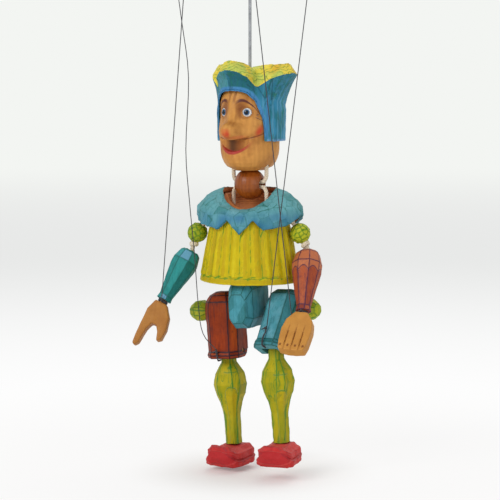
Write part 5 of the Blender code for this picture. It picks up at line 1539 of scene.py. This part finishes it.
@dataclass
class Torso:
    """Cape collar, pleated tunic and waist cord."""

    neck_floor: float = -0.3250
    hem: float = -0.3820
    hem_lift: float = 0.0032    # how far the cut hem rises above the solid's
    lift_from: float = 0.3560   # depth at which the lift begins
    waist: tuple = ((0.002, 0.006, -0.381), (0.002, 0.006, -0.368), (0.002, 0.006, -0.355))

    def build(self) -> None:
        """Carve and dress the torso."""
        cape = Carving(fine=0.0006, soften=3, edge_angle=70.0, edge_width=0.0009, wave=0.00035,
                       wave_size=0.007, chip=0.0095, chip_depth=0.0008, chip_stretch=0.8, chip_line=0.9)
        CarvedPiece("collar", cape, None, self._cape).dress(COLLAR_TEAL.material(), "teal", "torso")
        bell = Carving(fine=0.00072, soften=14, edge_angle=12.0, edge_width=0.0009, valleys=True,
                       wave=0.0003, wave_size=0.008)
        tunic = CarvedPiece("tunic", bell, None, self._tunic)
        for corner in tunic.mesh.vertices:
            corner.co.z += self.hem_lift * ease(-corner.co.z, self.lift_from, -self.hem)
        tunic.dress(YELLOW.material(), "yellow", "torso")
        cord = twisted("waist_cord_laid", smooth_route(self.waist, 6), 0.0025, 0.0075)
        dress(cord, CREAM.material(), "cotton", "torso", "waist_cord")

    def _cape(self, spot: Vector, normal: Vector) -> tuple[Colour, float]:
        """Bluer lower border of the cape, and bare wood inside its neck.

        Args:
            spot: the point.
            normal: the surface's normal there.

        Returns:
            Colour and share of the paint.
        """
        inner = ease(-normal.dot(Vector((spot.x, spot.y, 0.0)).normalized()), 0.10, 0.40)
        low = 1.0 - ease(spot.z, -0.3235, -0.3120) if normal.z < 0.75 else 0.0
        bluer = 0.50 * low * (1.0 + noise.noise(spot * 110.0))
        return layered(((CAPE_BORDER, bluer), (NECK_WOOD, 0.95 * inner)))

    def _tunic(self, spot: Vector, normal: Vector) -> tuple[Colour, float]:
        """Bare brown neck hollow, and loose green touches over the pleats.

        Args:
            spot: the point.
            normal: the surface's normal there.

        Returns:
            Colour and share of the paint.
        """
        wide = math.hypot(spot.x, spot.y)
        hollow = ease(spot.z, self.neck_floor - 0.003, self.neck_floor) * (1.0 - ease(wide, 0.0235, 0.0255))
        hollow = max(hollow, ease(normal.z, 0.5, 0.7) * (1.0 - ease(wide, 0.026, 0.028)))
        ring = 0.5 + 0.5 * math.sin(wide * 5200.0 + 3.0 * noise.noise(spot * 180.0))
        bare = tuple(Vector(HOLLOW_LIGHT).lerp(Vector(HOLLOW_DARK), 0.7 * ring))
        thin = 1.0 - ease(abs(noise.noise(Vector((spot.x, spot.y, 0.5 * spot.z)) * 340.0)), 0.02, 0.09)
        here = ease(noise.noise(spot * 75.0 + Vector((3.1, 0.7, 5.2))), 0.05, 0.30)
        shade = ease(noise.noise(spot * 55.0 + Vector((0.4, 7.7, 1.2))), -0.1, 0.5)
        return layered(((TUNIC_SHADE, 0.25 * shade), (TUNIC_GREEN, 0.55 * thin * here), (bare, hollow)))


@dataclass
class Arm:
    """Shoulder ball on its cord, sleeve, wound wrist and hand of one side."""

    side: Side
    root: tuple[float, float, float]
    ball: tuple[float, float, float]
    elbow: tuple[float, float, float]
    sleeve: Place
    hand: Place
    finish: StainedWood
    slot: str
    cord: float = 0.0020
    ball_radius: float = 0.0091
    knot_drop: float = 0.0107
    knot_length: float = 0.0022
    knot_radius: float = 0.0023
    knot_steps: int = 26
    nail_pitch: float = 0.0075
    nail_drop: float = 0.0357
    ring_radius: float = 0.0040
    ring_rise: float = 0.0016
    groove_middle: float = -0.0245
    groove_half: float = 0.0105
    petal_level: float = -0.0225
    petal_rise: float = 0.0040
    petals: float = 4.0
    wind_steps: int = 60
    wind_half: float = 0.0009   # half the height of the wound wrist
    wind_end: tuple = ((0.0009, -0.0052, 0.0019), (-0.0005, -0.0050, 0.0026), (-0.0011, -0.0056, 0.0012))

    def build(self) -> None:
        """Carve and dress the arm."""
        name = self.side.value
        shoulder, arm = name + "_shoulder", name + "_arm"
        faceted_ball("shoulder_ball_" + name, Vector(self.ball), self.ball_radius, shoulder)
        way = (Vector(self.elbow) - Vector(self.ball)).normalized()
        route = [Vector(self.root), Vector(self.ball), Vector(self.elbow), Vector(self.elbow) + 0.0012 * way]
        cord = twisted(f"shoulder_cord_{name}_laid", smooth_route(route, 8), self.cord, 0.0064)
        dress(cord, CREAM.material(), "cotton", shoulder, "shoulder_cord_" + name)
        self._knot(way, shoulder)
        facets = Carving(fine=0.0005, soften=1, edge_angle=9.0, edge_width=0.0010, wave=0.0002)
        sleeve = CarvedPiece("sleeve_" + name, facets, None, self._sleeve)
        sleeve.dress(self.finish.material(), self.slot, arm)
        palm = Carving(fine=0.0005, soften=5, edge_angle=30.0, edge_width=0.0007, valleys=True, wave=0.00015)
        hand = CarvedPiece("hand_" + name, palm, self._nail_cut, self._nails)
        hand.dress(HAND_WOOD.material(), "bare_wood", arm)
        refinish(HAND_WOOD.material(), "wrist_peg_" + name)
        self._winding(arm)

    def _knot(self, way: Vector, body: str) -> None:
        """Two turns of the cord knotted below the ball.

        Args:
            way: the way from the ball to the sleeve.
            body: the body that carries it.
        """
        middle = Vector(self.ball) + self.knot_drop * way
        across = way.orthogonal().normalized()
        other = way.cross(across)
        route = []
        for step in range(self.knot_steps + 1):
            share = step / self.knot_steps
            turn = 4.4 * math.pi * share
            rise = self.knot_length * (share - 0.5) + 0.0008 * math.sin(turn)
            wide = self.knot_radius * (0.85 + 0.3 * math.sin(math.pi * share))
            route.append(middle + rise * way + wide * (math.cos(turn) * across + math.sin(turn) * other))
        knot = twisted(f"shoulder_knot_{self.side.value}", smooth_route(route, 2), 0.0016, 0.0052)
        dress(knot, CREAM.material(), "cotton", body)

    def _sleeve(self, spot: Vector, normal: Vector) -> tuple[Colour, float]:
        """Painted highlight on the teal sleeve's facets that face up and forward, or the petals round the
        terracotta one.

        Args:
            spot: the point.
            normal: the surface's normal there.

        Returns:
            Colour and share of the paint.
        """
        if self.side is Side.LEFT:
            p = self.sleeve.local(spot)
            turn = math.atan2(p.x, -p.y)
            petal = self.petal_level + self.petal_rise * abs(math.cos(self.petals * turn))
            upper = ease(p.z, petal - 0.0004, petal + 0.0004)
            border = near(p.z, petal, 0.0007)
            return layered(((SLEEVE_PETAL, 0.50 * upper), (self.finish.line, 0.85 * border)))
        # painted highlight, by how far a facet faces up and forward
        highlight_share = ease(normal.dot(Vector((0.10, -0.72, 0.68)).normalized()), 0.90, 0.93)
        return SLEEVE_PAINTED_HIGHLIGHT, 0.75 * highlight_share

    def _nail(self, spot: Vector) -> float:
        """1 on the finger nails of the flat hand.

        Args:
            spot: the point.

        Returns:
            The share, from 0 to 1.
        """
        if self.side is Side.RIGHT:
            return 0.0
        p = self.hand.local(spot)
        across = abs(abs(p.x) - self.nail_pitch) - 0.5 * self.nail_pitch
        off = math.hypot(abs(across), 0.8 * (p.z + self.nail_drop))
        return (1.0 - ease(off, 0.0007, 0.0014)) * ease(-p.y, 0.002, 0.0035)

    def _groove(self, spot: Vector) -> float:
        """1 in the long cuts between the fingers of the flat hand.

        Args:
            spot: the point.

        Returns:
            The share, from 0 to 1.
        """
        if self.side is Side.RIGHT:
            return 0.0
        p = self.hand.local(spot)
        off = min(abs(p.x - place * self.nail_pitch) for place in (-1.0, 0.0, 1.0))
        long = near(p.z, self.groove_middle, self.groove_half)
        return near(off, 0.0, 0.00042) * long * ease(-p.y, 0.001, 0.003)

    def _nail_cut(self, spot: Vector, _normal: Vector) -> float:
        """Dent of the nails and the finger cuts."""
        return -0.0004 * self._nail(spot) - 0.0006 * self._groove(spot)

    def _nails(self, spot: Vector, _normal: Vector) -> tuple[Colour, float]:
        """Mottled tone of the hand, darker on the right hand than the left, with brown nails and finger cuts.

        Args:
            spot: the point.
            _normal: the normal there, not needed.

        Returns:
            Colour and share of the paint.
        """
        tone_share = 0.40 * (1.0 + 0.6 * noise.noise(spot * 140.0))
        cuts = max(0.85 * self._nail(spot), 0.60 * self._groove(spot))
        return layered(((HAND_TONES[self.side], tone_share), (NAIL_BROWN, cuts)))

    def _winding(self, arm: str) -> None:
        """Three turns of thread round the wrist, knotted in front.

        Args:
            arm: the body that carries it.
        """
        r = self.ring_radius
        spots = []
        for step in range(self.wind_steps + 1):
            share = step / self.wind_steps
            turn = 6.0 * math.pi * share
            rise = self.ring_rise + self.wind_half * (2.0 * share - 1.0)
            spots.append((r * math.sin(turn), -r * math.cos(turn), rise))
        middle = Vector(self.hand.origin)
        route = [self.sleeve.turn @ Vector(spot) + middle for spot in (*spots, *self.wind_end)]
        winding = tied(f"wrist_loop_{self.side.value}_wound", route, 0.00062, 2)
        dress(winding, DARK_THREAD.material(), "thread", arm, "wrist_loop_" + self.side.value)


def faceted_ball(node: str, centre: Vector, radius: float, body: str, cells: int = 46) -> None:
    """Carve a ball solid into flat cells and dress it in the netted yellow green.

    Args:
        node: the solid.
        centre: its middle.
        radius: its radius.
        body: the body that carries it.
        cells: how many flat cells.
    """
    shift = random.Random(node)
    ways = []
    for cell in range(cells):
        z = 1.0 - 2.0 * (cell + 0.5) / cells
        turn = GOLDEN_ANGLE * cell + 0.35 * shift.random()
        flat = math.sqrt(1.0 - z * z)
        way = Vector((flat * math.cos(turn), flat * math.sin(turn), z + 0.12 * shift.random()))
        ways.append(way.normalized())

    def cell_at(spot: Vector) -> tuple[float, float]:
        """Share of the flat cell's axis at a point, and the lead over the next cell.

        Args:
            spot: the point.

        Returns:
            Both numbers.
        """
        way = (spot - centre).normalized()
        best = sorted((way.dot(other) for other in ways), reverse=True)[:2]
        return best[0], best[0] - best[1]

    def flatten(spot: Vector, _normal: Vector) -> float:
        """Cut down to the cell's plane."""
        return 0.975 * radius / cell_at(spot)[0] - radius if (spot - centre).length > 0.97 * radius else 0.0

    def net(spot: Vector, _normal: Vector) -> tuple[Colour, float]:
        """Green lines along the cells' borders."""
        line = 1.0 - ease(cell_at(spot)[1], 0.010, 0.055)
        return NET_GREEN, 0.9 * line * (0.75 + 0.5 * noise.noise(spot * 500.0))

    plain = Carving(fine=0.0004, soften=3, edge_angle=200.0, wave=0.0001)
    CarvedPiece(node, plain, flatten, net).dress(GREENISH.material(), "yellow_green", body)


@dataclass
class Hips:
    """Hip block on its cord, with the end knobs."""

    cord: float = 0.0020
    route: tuple = ((-0.0338, 0.01167, -0.40754), (-0.01012, 0.00792, -0.40586), (0.002, 0.006, -0.405),
                    (0.01954, 0.00322, -0.40376), (0.0417, -0.0053, -0.4021))
    band: float = -0.4075       # level of the painted band round a knob

    def build(self) -> None:
        """Carve and dress the hips."""
        block = Carving(fine=0.0006, soften=2, edge_angle=16.0, edge_width=0.0009, wave=0.0003,
                        wave_size=0.007, chip=0.013, chip_depth=0.0003, chip_stretch=0.5, chip_line=0.12)
        CarvedPiece("pelvis", block).dress(HIP_TEAL.material(), "teal", "hips")
        cord = twisted("hip_cord_laid", smooth_route(self.route, 8), self.cord, 0.0064)
        dress(cord, CREAM.material(), "cotton", "hips", "hip_cord")
        plain = Carving(fine=0.0005, soften=2, edge_angle=10.0, edge_width=0.0008, wave=0.0003,
                        wave_size=0.005)
        for side in Side:
            knob = CarvedPiece("hip_knob_" + side.value, plain, None, self._band)
            knob.dress(GREENISH.material(), "yellow_green", "hips")

    def _band(self, spot: Vector, _normal: Vector) -> tuple[Colour, float]:
        """Green band round a knob.

        Args:
            spot: the point.
            _normal: the normal there, not needed.

        Returns:
            Colour and share of the paint.
        """
        level = self.band + 0.0006 * noise.noise(spot * 400.0)
        worn = ease(noise.noise(spot * 260.0), -0.35, 0.0)
        return KNOB_GREEN, 0.75 * near(spot.z, level, 0.0008) * worn


@dataclass
class Leg:
    """Thigh with its thread loop, calf and shoe of one side."""

    side: Side
    hip: Place
    knee: Place
    foot: Place
    finish: StainedWood
    slot: str
    loop_x: float
    knot_rise: float
    bar_level: float
    arch_level: float
    thigh_front: float = 0.0165
    thigh_bottom: float = 0.0420
    thread: float = 0.00075
    view: float = 26.0          # where the calf's arched facet is, round from its front
    calf_shaving: float = 0.0010
    shoe_swell: float = 0.0028  # how far the upper stands out round the solid

    def build(self) -> None:
        """Carve and dress the leg."""
        name = self.side.value
        thigh, calf = name + "_thigh", name + "_calf"
        block = Carving(fine=0.0006, soften=1, edge_angle=12.0, edge_width=0.0013, wave=0.0003,
                        wave_size=0.007)
        CarvedPiece("thigh_" + name, block, None, self._thigh).dress(self.finish.material(), self.slot, thigh)
        refinish(HAND_WOOD.material(), "knee_pin_" + name, "ankle_dowel_" + name)
        shin = Carving(fine=0.0005, soften=3, edge_angle=9.0, edge_width=0.0014, lengthwise=True,
                       wave=0.0004, wave_size=0.006)
        shank = CarvedPiece("calf_" + name, shin, self._slim, self._calf, self._arch)
        shank.dress(OLIVE.material(), "yellow_green", calf)
        boot = Carving(fine=0.0005, soften=14, edge_angle=40.0, edge_width=0.0009, wave=0.0003,
                       wave_size=0.005, chip=0.015, chip_depth=0.0004, chip_stretch=1.6, chip_line=0.1)
        CarvedPiece("shoe_" + name, boot, self._lumps, self._shoe).dress(RED.material(), "red", calf)
        self._loop(thigh)

    def _thigh(self, spot: Vector, _normal: Vector) -> tuple[Colour, float]:
        """Painted shadow of the tunic, in dark green, on top of the teal thigh.

        Args:
            spot: the point.
            _normal: the normal there, not needed.

        Returns:
            Colour and share of the paint.
        """
        if self.side is Side.RIGHT:
            return self.finish.wash, 0.0
        p = self.hip.local(spot)
        # painted shadow of the tunic, darkening the top of the thigh
        return THIGH_PAINTED_SHADOW, 0.65 * ease(p.z, 0.004, 0.014)

    def _round_calf(self, p: Vector) -> float:
        """Degrees round the calf from the middle of its arched facet, or of the one behind."""
        return (math.degrees(math.atan2(p.x, -p.y)) - self.view + 90.0) % 180.0 - 90.0

    def _arch_height(self, turn: float) -> float:
        """Height of the arch over a facet, some degrees round from its middle."""
        return self.arch_level - 0.0065 * (turn / 28.0) ** 4

    def _arch(self, spot: Vector, _normal: Vector) -> float:
        """1 on the arched facets, front and back.

        Args:
            spot: the point.
            _normal: the normal there, not needed.

        Returns:
            The share, from 0 to 1.
        """
        p = self.knee.local(spot)
        turn = self._round_calf(p)
        arch = self._arch_height(turn)
        return (1.0 - ease(p.z, arch - 0.0008, arch)) * (1.0 - ease(abs(turn), 26.0, 29.0))

    def _slim(self, _spot: Vector, _normal: Vector) -> float:
        """The last shaving off the calf all round."""
        return -self.calf_shaving

    def _calf(self, spot: Vector, normal: Vector) -> tuple[Colour, float]:
        """Green bar over the bulge and the arched facet below it.

        Args:
            spot: the point.
            normal: the surface's normal there.

        Returns:
            Colour and share of the paint.
        """
        p = self.knee.local(spot)
        turn = self._round_calf(p)
        sway = 0.0006 * noise.noise(spot * 300.0)
        arch = self._arch_height(turn)
        warm = self._arch(spot, normal) * ease(p.z, -0.075, -0.045)
        line = near(p.z, arch + sway, 0.0006) * (1.0 - ease(abs(turn), 27.0, 31.0))
        bar = near(p.z, self.bar_level + sway, 0.0006) * (1.0 - ease(abs(turn), 30.0, 36.0))
        ragged = 0.8 + 0.6 * noise.noise(spot * 160.0)
        flank = near(abs(turn), 28.0, 2.6) * (1.0 - ease(p.z, arch - 0.001, arch)) * ragged
        tongue = ease(p.z, -0.016, -0.004)
        return layered(((CALF_YELLOW, 0.45 * warm), (CALF_OLIVE, 0.5 * tongue), (CALF_GREEN, 0.8 * line),
                        (CALF_GREEN, 0.7 * flank), (CALF_GREEN, 0.65 * bar)))

    def _oval(self, spot: Vector) -> float:
        """1 on the scooped oval on the front of the shoe.

        Args:
            spot: the point.

        Returns:
            The share, from 0 to 1.
        """
        p = self.foot.local(spot)
        turn = math.atan2(p.x + 0.001, -p.y + 0.001)
        return 1.0 - ease(math.hypot(turn / 0.66, (p.z - 0.0092) / 0.0066), 0.88, 1.02)

    def _lumps(self, spot: Vector, normal: Vector) -> float:
        """Rough cuts of the shoe and the scoop of its oval.

        Args:
            spot: the point.
            normal: the surface's normal there.

        Returns:
            Rise along the normal in metres.
        """
        p = self.foot.local(spot)
        free = ease(p.z, 0.0006, 0.004)
        oval = self._oval(spot)
        chip = 0.0014 * noise.noise(spot * 80.0 + Vector((1.7, 4.1, 2.2)))
        chip += 0.0002 * noise.noise(spot * 310.0)
        seam = near(p.z, 0.0045 + 0.0012 * noise.noise(spot * 90.0), 0.0011)
        welt = -0.0004 * seam * (1.0 - oval)
        upright = max(0.0, 1.0 - normal.z ** 2 * 1.6)
        return free * (chip + welt) + self.shoe_swell * upright - 0.0009 * oval

    def _shoe(self, spot: Vector, normal: Vector) -> tuple[Colour, float]:
        """Lighter top as a painted highlight on the upward faces, darker scooped oval and paler rim of the
        shoe.

        Args:
            spot: the point.
            normal: the surface's normal there.

        Returns:
            Colour and share of the paint.
        """
        oval = self._oval(spot)
        rim = 4.0 * oval * (1.0 - oval)
        # painted highlight on faces turned up, darker oval, paler rim round the oval
        return layered(((SHOE_PAINTED_HIGHLIGHT, 0.45 * ease(normal.z, 0.25, 0.75)), (SHOE_OVAL, 0.7 * oval),
                        (SHOE_RIM, 0.22 * rim)))

    def _loop(self, thigh: str) -> None:
        """Knotted thread on the front of the thigh, turned under its rim.

        Args:
            thigh: the body that carries it.
        """
        r = self.thread
        name = "knee_loop_" + self.side.value
        front = -self.thigh_front - 2.0 * r
        over = front - 0.0012
        knot = self.knot_rise - self.thigh_bottom
        x = self.loop_x
        bent = x + 1.3 * r
        under = -self.thigh_bottom - 1.5 * r
        spots = ((x, front - 1.3 * r, knot + 1.6 * r), (x + r, front - 2.2 * r, knot + 0.6 * r),
                 (x - r, front - 2.6 * r, knot - 0.4 * r), (x + 0.6 * r, front - 0.6 * r, knot - 0.9 * r),
                 (x - 0.8 * r, front - 1.6 * r, knot + 0.5 * r), (x, front, knot - 3.6 * r),
                 (x, over, 8.3 * r - self.thigh_bottom), (x + r, over, 1.6 * r - self.thigh_bottom),
                 (bent, over + r, under), (bent, over + 4.0 * r, under), (bent, over + 8.3 * r, under))
        loose = ((x, front - 1.6 * r, knot), (x - 0.0022, front - 1.2 * r, knot - 0.0004),
                 (x - 0.0048, front - 0.8 * r, knot - 0.0012))
        cord = tied(name + "_tied", [self.hip.world(spot) for spot in spots], r)
        tail = tied(name + "_tail", [self.hip.world(spot) for spot in loose], 0.8 * r)
        dress(cord, DARK_THREAD.material(), "thread", thigh, name)
        dress(tail, DARK_THREAD.material(), "thread", thigh)


@dataclass
class Threads:
    """The four threads from the bars to the wrists and the knees."""

    radius: float = 0.0004
    hand_bar_end: tuple[float, float, float] = (0.0255, -0.090, -0.0764)
    leg_bar_end: tuple[float, float, float] = (0.0626, -0.024, -0.0969)
    wrists: dict = field(default_factory=lambda: {Side.RIGHT: (-0.07242, -0.02952, -0.39571),
                                                  Side.LEFT: (0.0484, -0.0380, -0.4000)})
    knees: dict = field(default_factory=lambda: {Side.RIGHT: (-0.02868, -0.00806, -0.44047),
                                                 Side.LEFT: (0.02425, -0.02955, -0.41512)})
    slack: tuple = ((-0.0565, -0.0190, 0.157), (-0.0500, -0.0200, 0.300), (-0.0520, -0.0220, 0.483),
                    (-0.0480, -0.0240, 0.617), (-0.0430, -0.0260, 0.745), (-0.0395, -0.0260, 0.879),
                    (-0.0355, -0.0250, 0.952))
    tie: tuple = ((0.0484, -0.0380, -0.4000), (0.0495, -0.0388, -0.4022), (0.0518, -0.0384, -0.4035),
                  (0.0545, -0.0366, -0.4032))
    far: float = 10.0           # a far distance, in metres
    steps: int = 20             # of a straight thread's route
    # how the leg threads move as the hips go to their limits
    left_shift: tuple[float, float, float] = (-0.0017, 0.0010, -0.0147)
    right_shift: tuple[float, float, float] = (0.0017, -0.0054, 0.0143)

    def build(self) -> None:
        """Make the threads."""
        dark = DARK_THREAD.material()
        for side in Side:
            sign = -1.0 if side is Side.RIGHT else 1.0
            top = Vector((sign * self.hand_bar_end[0], *self.hand_bar_end[1:]))
            low = Vector(self.wrists[side])
            thread = self._thread("hand_thread_" + side.value, self._straight(top, low), dark)
            moved = turned_about(low, side.value + "_arm_swing")
            moved = turned_about(moved, side.value + "_shoulder_lift")
            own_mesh(thread)
        dress(tied("wrist_tie_left", self.tie, 0.00055), dark, "thread", "left_arm")
        top = Vector(self.leg_bar_end)
        low = Vector(self.knees[Side.LEFT])
        thread = self._thread("leg_thread_left", self._straight(top, low), dark)
        self._shift(thread, Vector(self.left_shift))
        top = Vector((-self.leg_bar_end[0], *self.leg_bar_end[1:]))
        low = Vector(self.knees[Side.RIGHT])
        bends = [Vector((x, y, top.z + share * (low.z - top.z))) for x, y, share in self.slack]
        thread = self._thread("leg_thread_right", smooth_route([top, *bends, low], 4), dark)
        self._shift(thread, Vector(self.right_shift))

    def _straight(self, top: Vector, low: Vector) -> list[Vector]:
        """Even points from the bar to the limb."""
        return [top.lerp(low, step / self.steps) for step in range(self.steps + 1)]

    def _thread(self, name: str, route: list[Vector], material: bpy.types.Material) -> bpy.types.Object:
        """One thread along its route.

        Args:
            name: the thread's solid.
            route: its points.
            material: its finish.

        Returns:
            The piece.
        """
        piece = tube_curve(name + "_cotton", route, self.radius, 4)
        fluff = [0.3 + 0.3 * noise.noise(corner.co * 900.0) for corner in piece.data.vertices]
        store(piece.data, "edge", fluff)
        dress(piece, material, "thread", "control", name)
        length = sum((end - start).length for start, end in zip(route, route[1:]))
        tuple(route[0])
        [tuple(point) for point in route]
        return piece

    def _shift(self, thread: bpy.types.Object, by: Vector) -> None:
        """Give a thread its own mesh.

        Args:
            thread: the thread.
            by: not used.
        """
        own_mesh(thread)


RIGHT_ARM = Arm(
    side=Side.RIGHT,
    root=(-0.03126, -0.004, -0.31737),
    ball=(-0.04746, -0.004, -0.33668),
    elbow=(-0.05271, -0.004, -0.35285),
    sleeve=Place((-0.05271, -0.004, -0.35284), (0.90631, 0.0, -0.42262), (0.39184, 0.37461, 0.84031)),
    hand=Place((-0.07395, -0.0243, -0.39839), (0.90631, 0.0, -0.42262), (0.39184, 0.37461, 0.84031)),
    finish=SLEEVE_TEAL,
    slot="teal")
LEFT_ARM = Arm(
    side=Side.LEFT,
    root=(0.03189, -0.004, -0.31511),
    ball=(0.04705, -0.004, -0.33524),
    elbow=(0.05451, -0.004, -0.35052),
    sleeve=Place((0.05451, -0.004, -0.35052), (0.99756, 0.0, 0.06976), (-0.05979, 0.51504, 0.85508)),
    hand=Place((0.05817, -0.03552, -0.40285), (0.99618, -0.07168, -0.04993), (0.08465, 0.65112, 0.75424)),
    finish=TERRACOTTA,
    slot="terracotta",
    nail_pitch=0.0068,
    nail_drop=0.0343)
RIGHT_LEG = Leg(
    side=Side.RIGHT,
    hip=Place((-0.01012, 0.00792, -0.40586), (0.98528, -0.15605, 0.06976), (-0.0689, 0.01091, 0.99756)),
    knee=Place((-0.0234, 0.01002, -0.44289), (0.98528, -0.15605, 0.06976), (-0.0689, 0.01091, 0.99756)),
    foot=Place((-0.01758, 0.0091, -0.54528), (0.96593, -0.25882, 0.0)),
    finish=RUST,
    slot="rust",
    loop_x=-0.0182,
    knot_rise=0.0075,
    bar_level=-0.0185,
    arch_level=-0.0326)
LEFT_LEG = Leg(
    side=Side.LEFT,
    hip=Place((0.01954, 0.00322, -0.40376), (0.93123, -0.358, 0.06823), (0.13121, 0.50402, 0.85367)),
    knee=Place((0.02971, -0.02065, -0.4334), (0.93123, -0.358, 0.06823), (-0.0689, 0.01091, 0.99756)),
    foot=Place((0.03554, -0.02157, -0.53579), (0.99863, -0.05234, 0.0)),
    finish=HIP_TEAL,
    slot="teal",
    loop_x=0.0153,
    knot_rise=0.0150,
    bar_level=-0.0232,
    arch_level=-0.0374,
    view=50.0)


def main() -> None:
    """Build the stage and the puppet."""
    logging.basicConfig(level=logging.INFO, format="%(message)s")
    noise.seed_set(NOISE_SEED)
    parts = (Stage(), Threads(), Control(), Head(), Neck(), Torso(), RIGHT_ARM, LEFT_ARM, Hips(),
             RIGHT_LEG, LEFT_LEG)
    for part in parts:
        part.build()


if __name__ == "__main__":
    main()
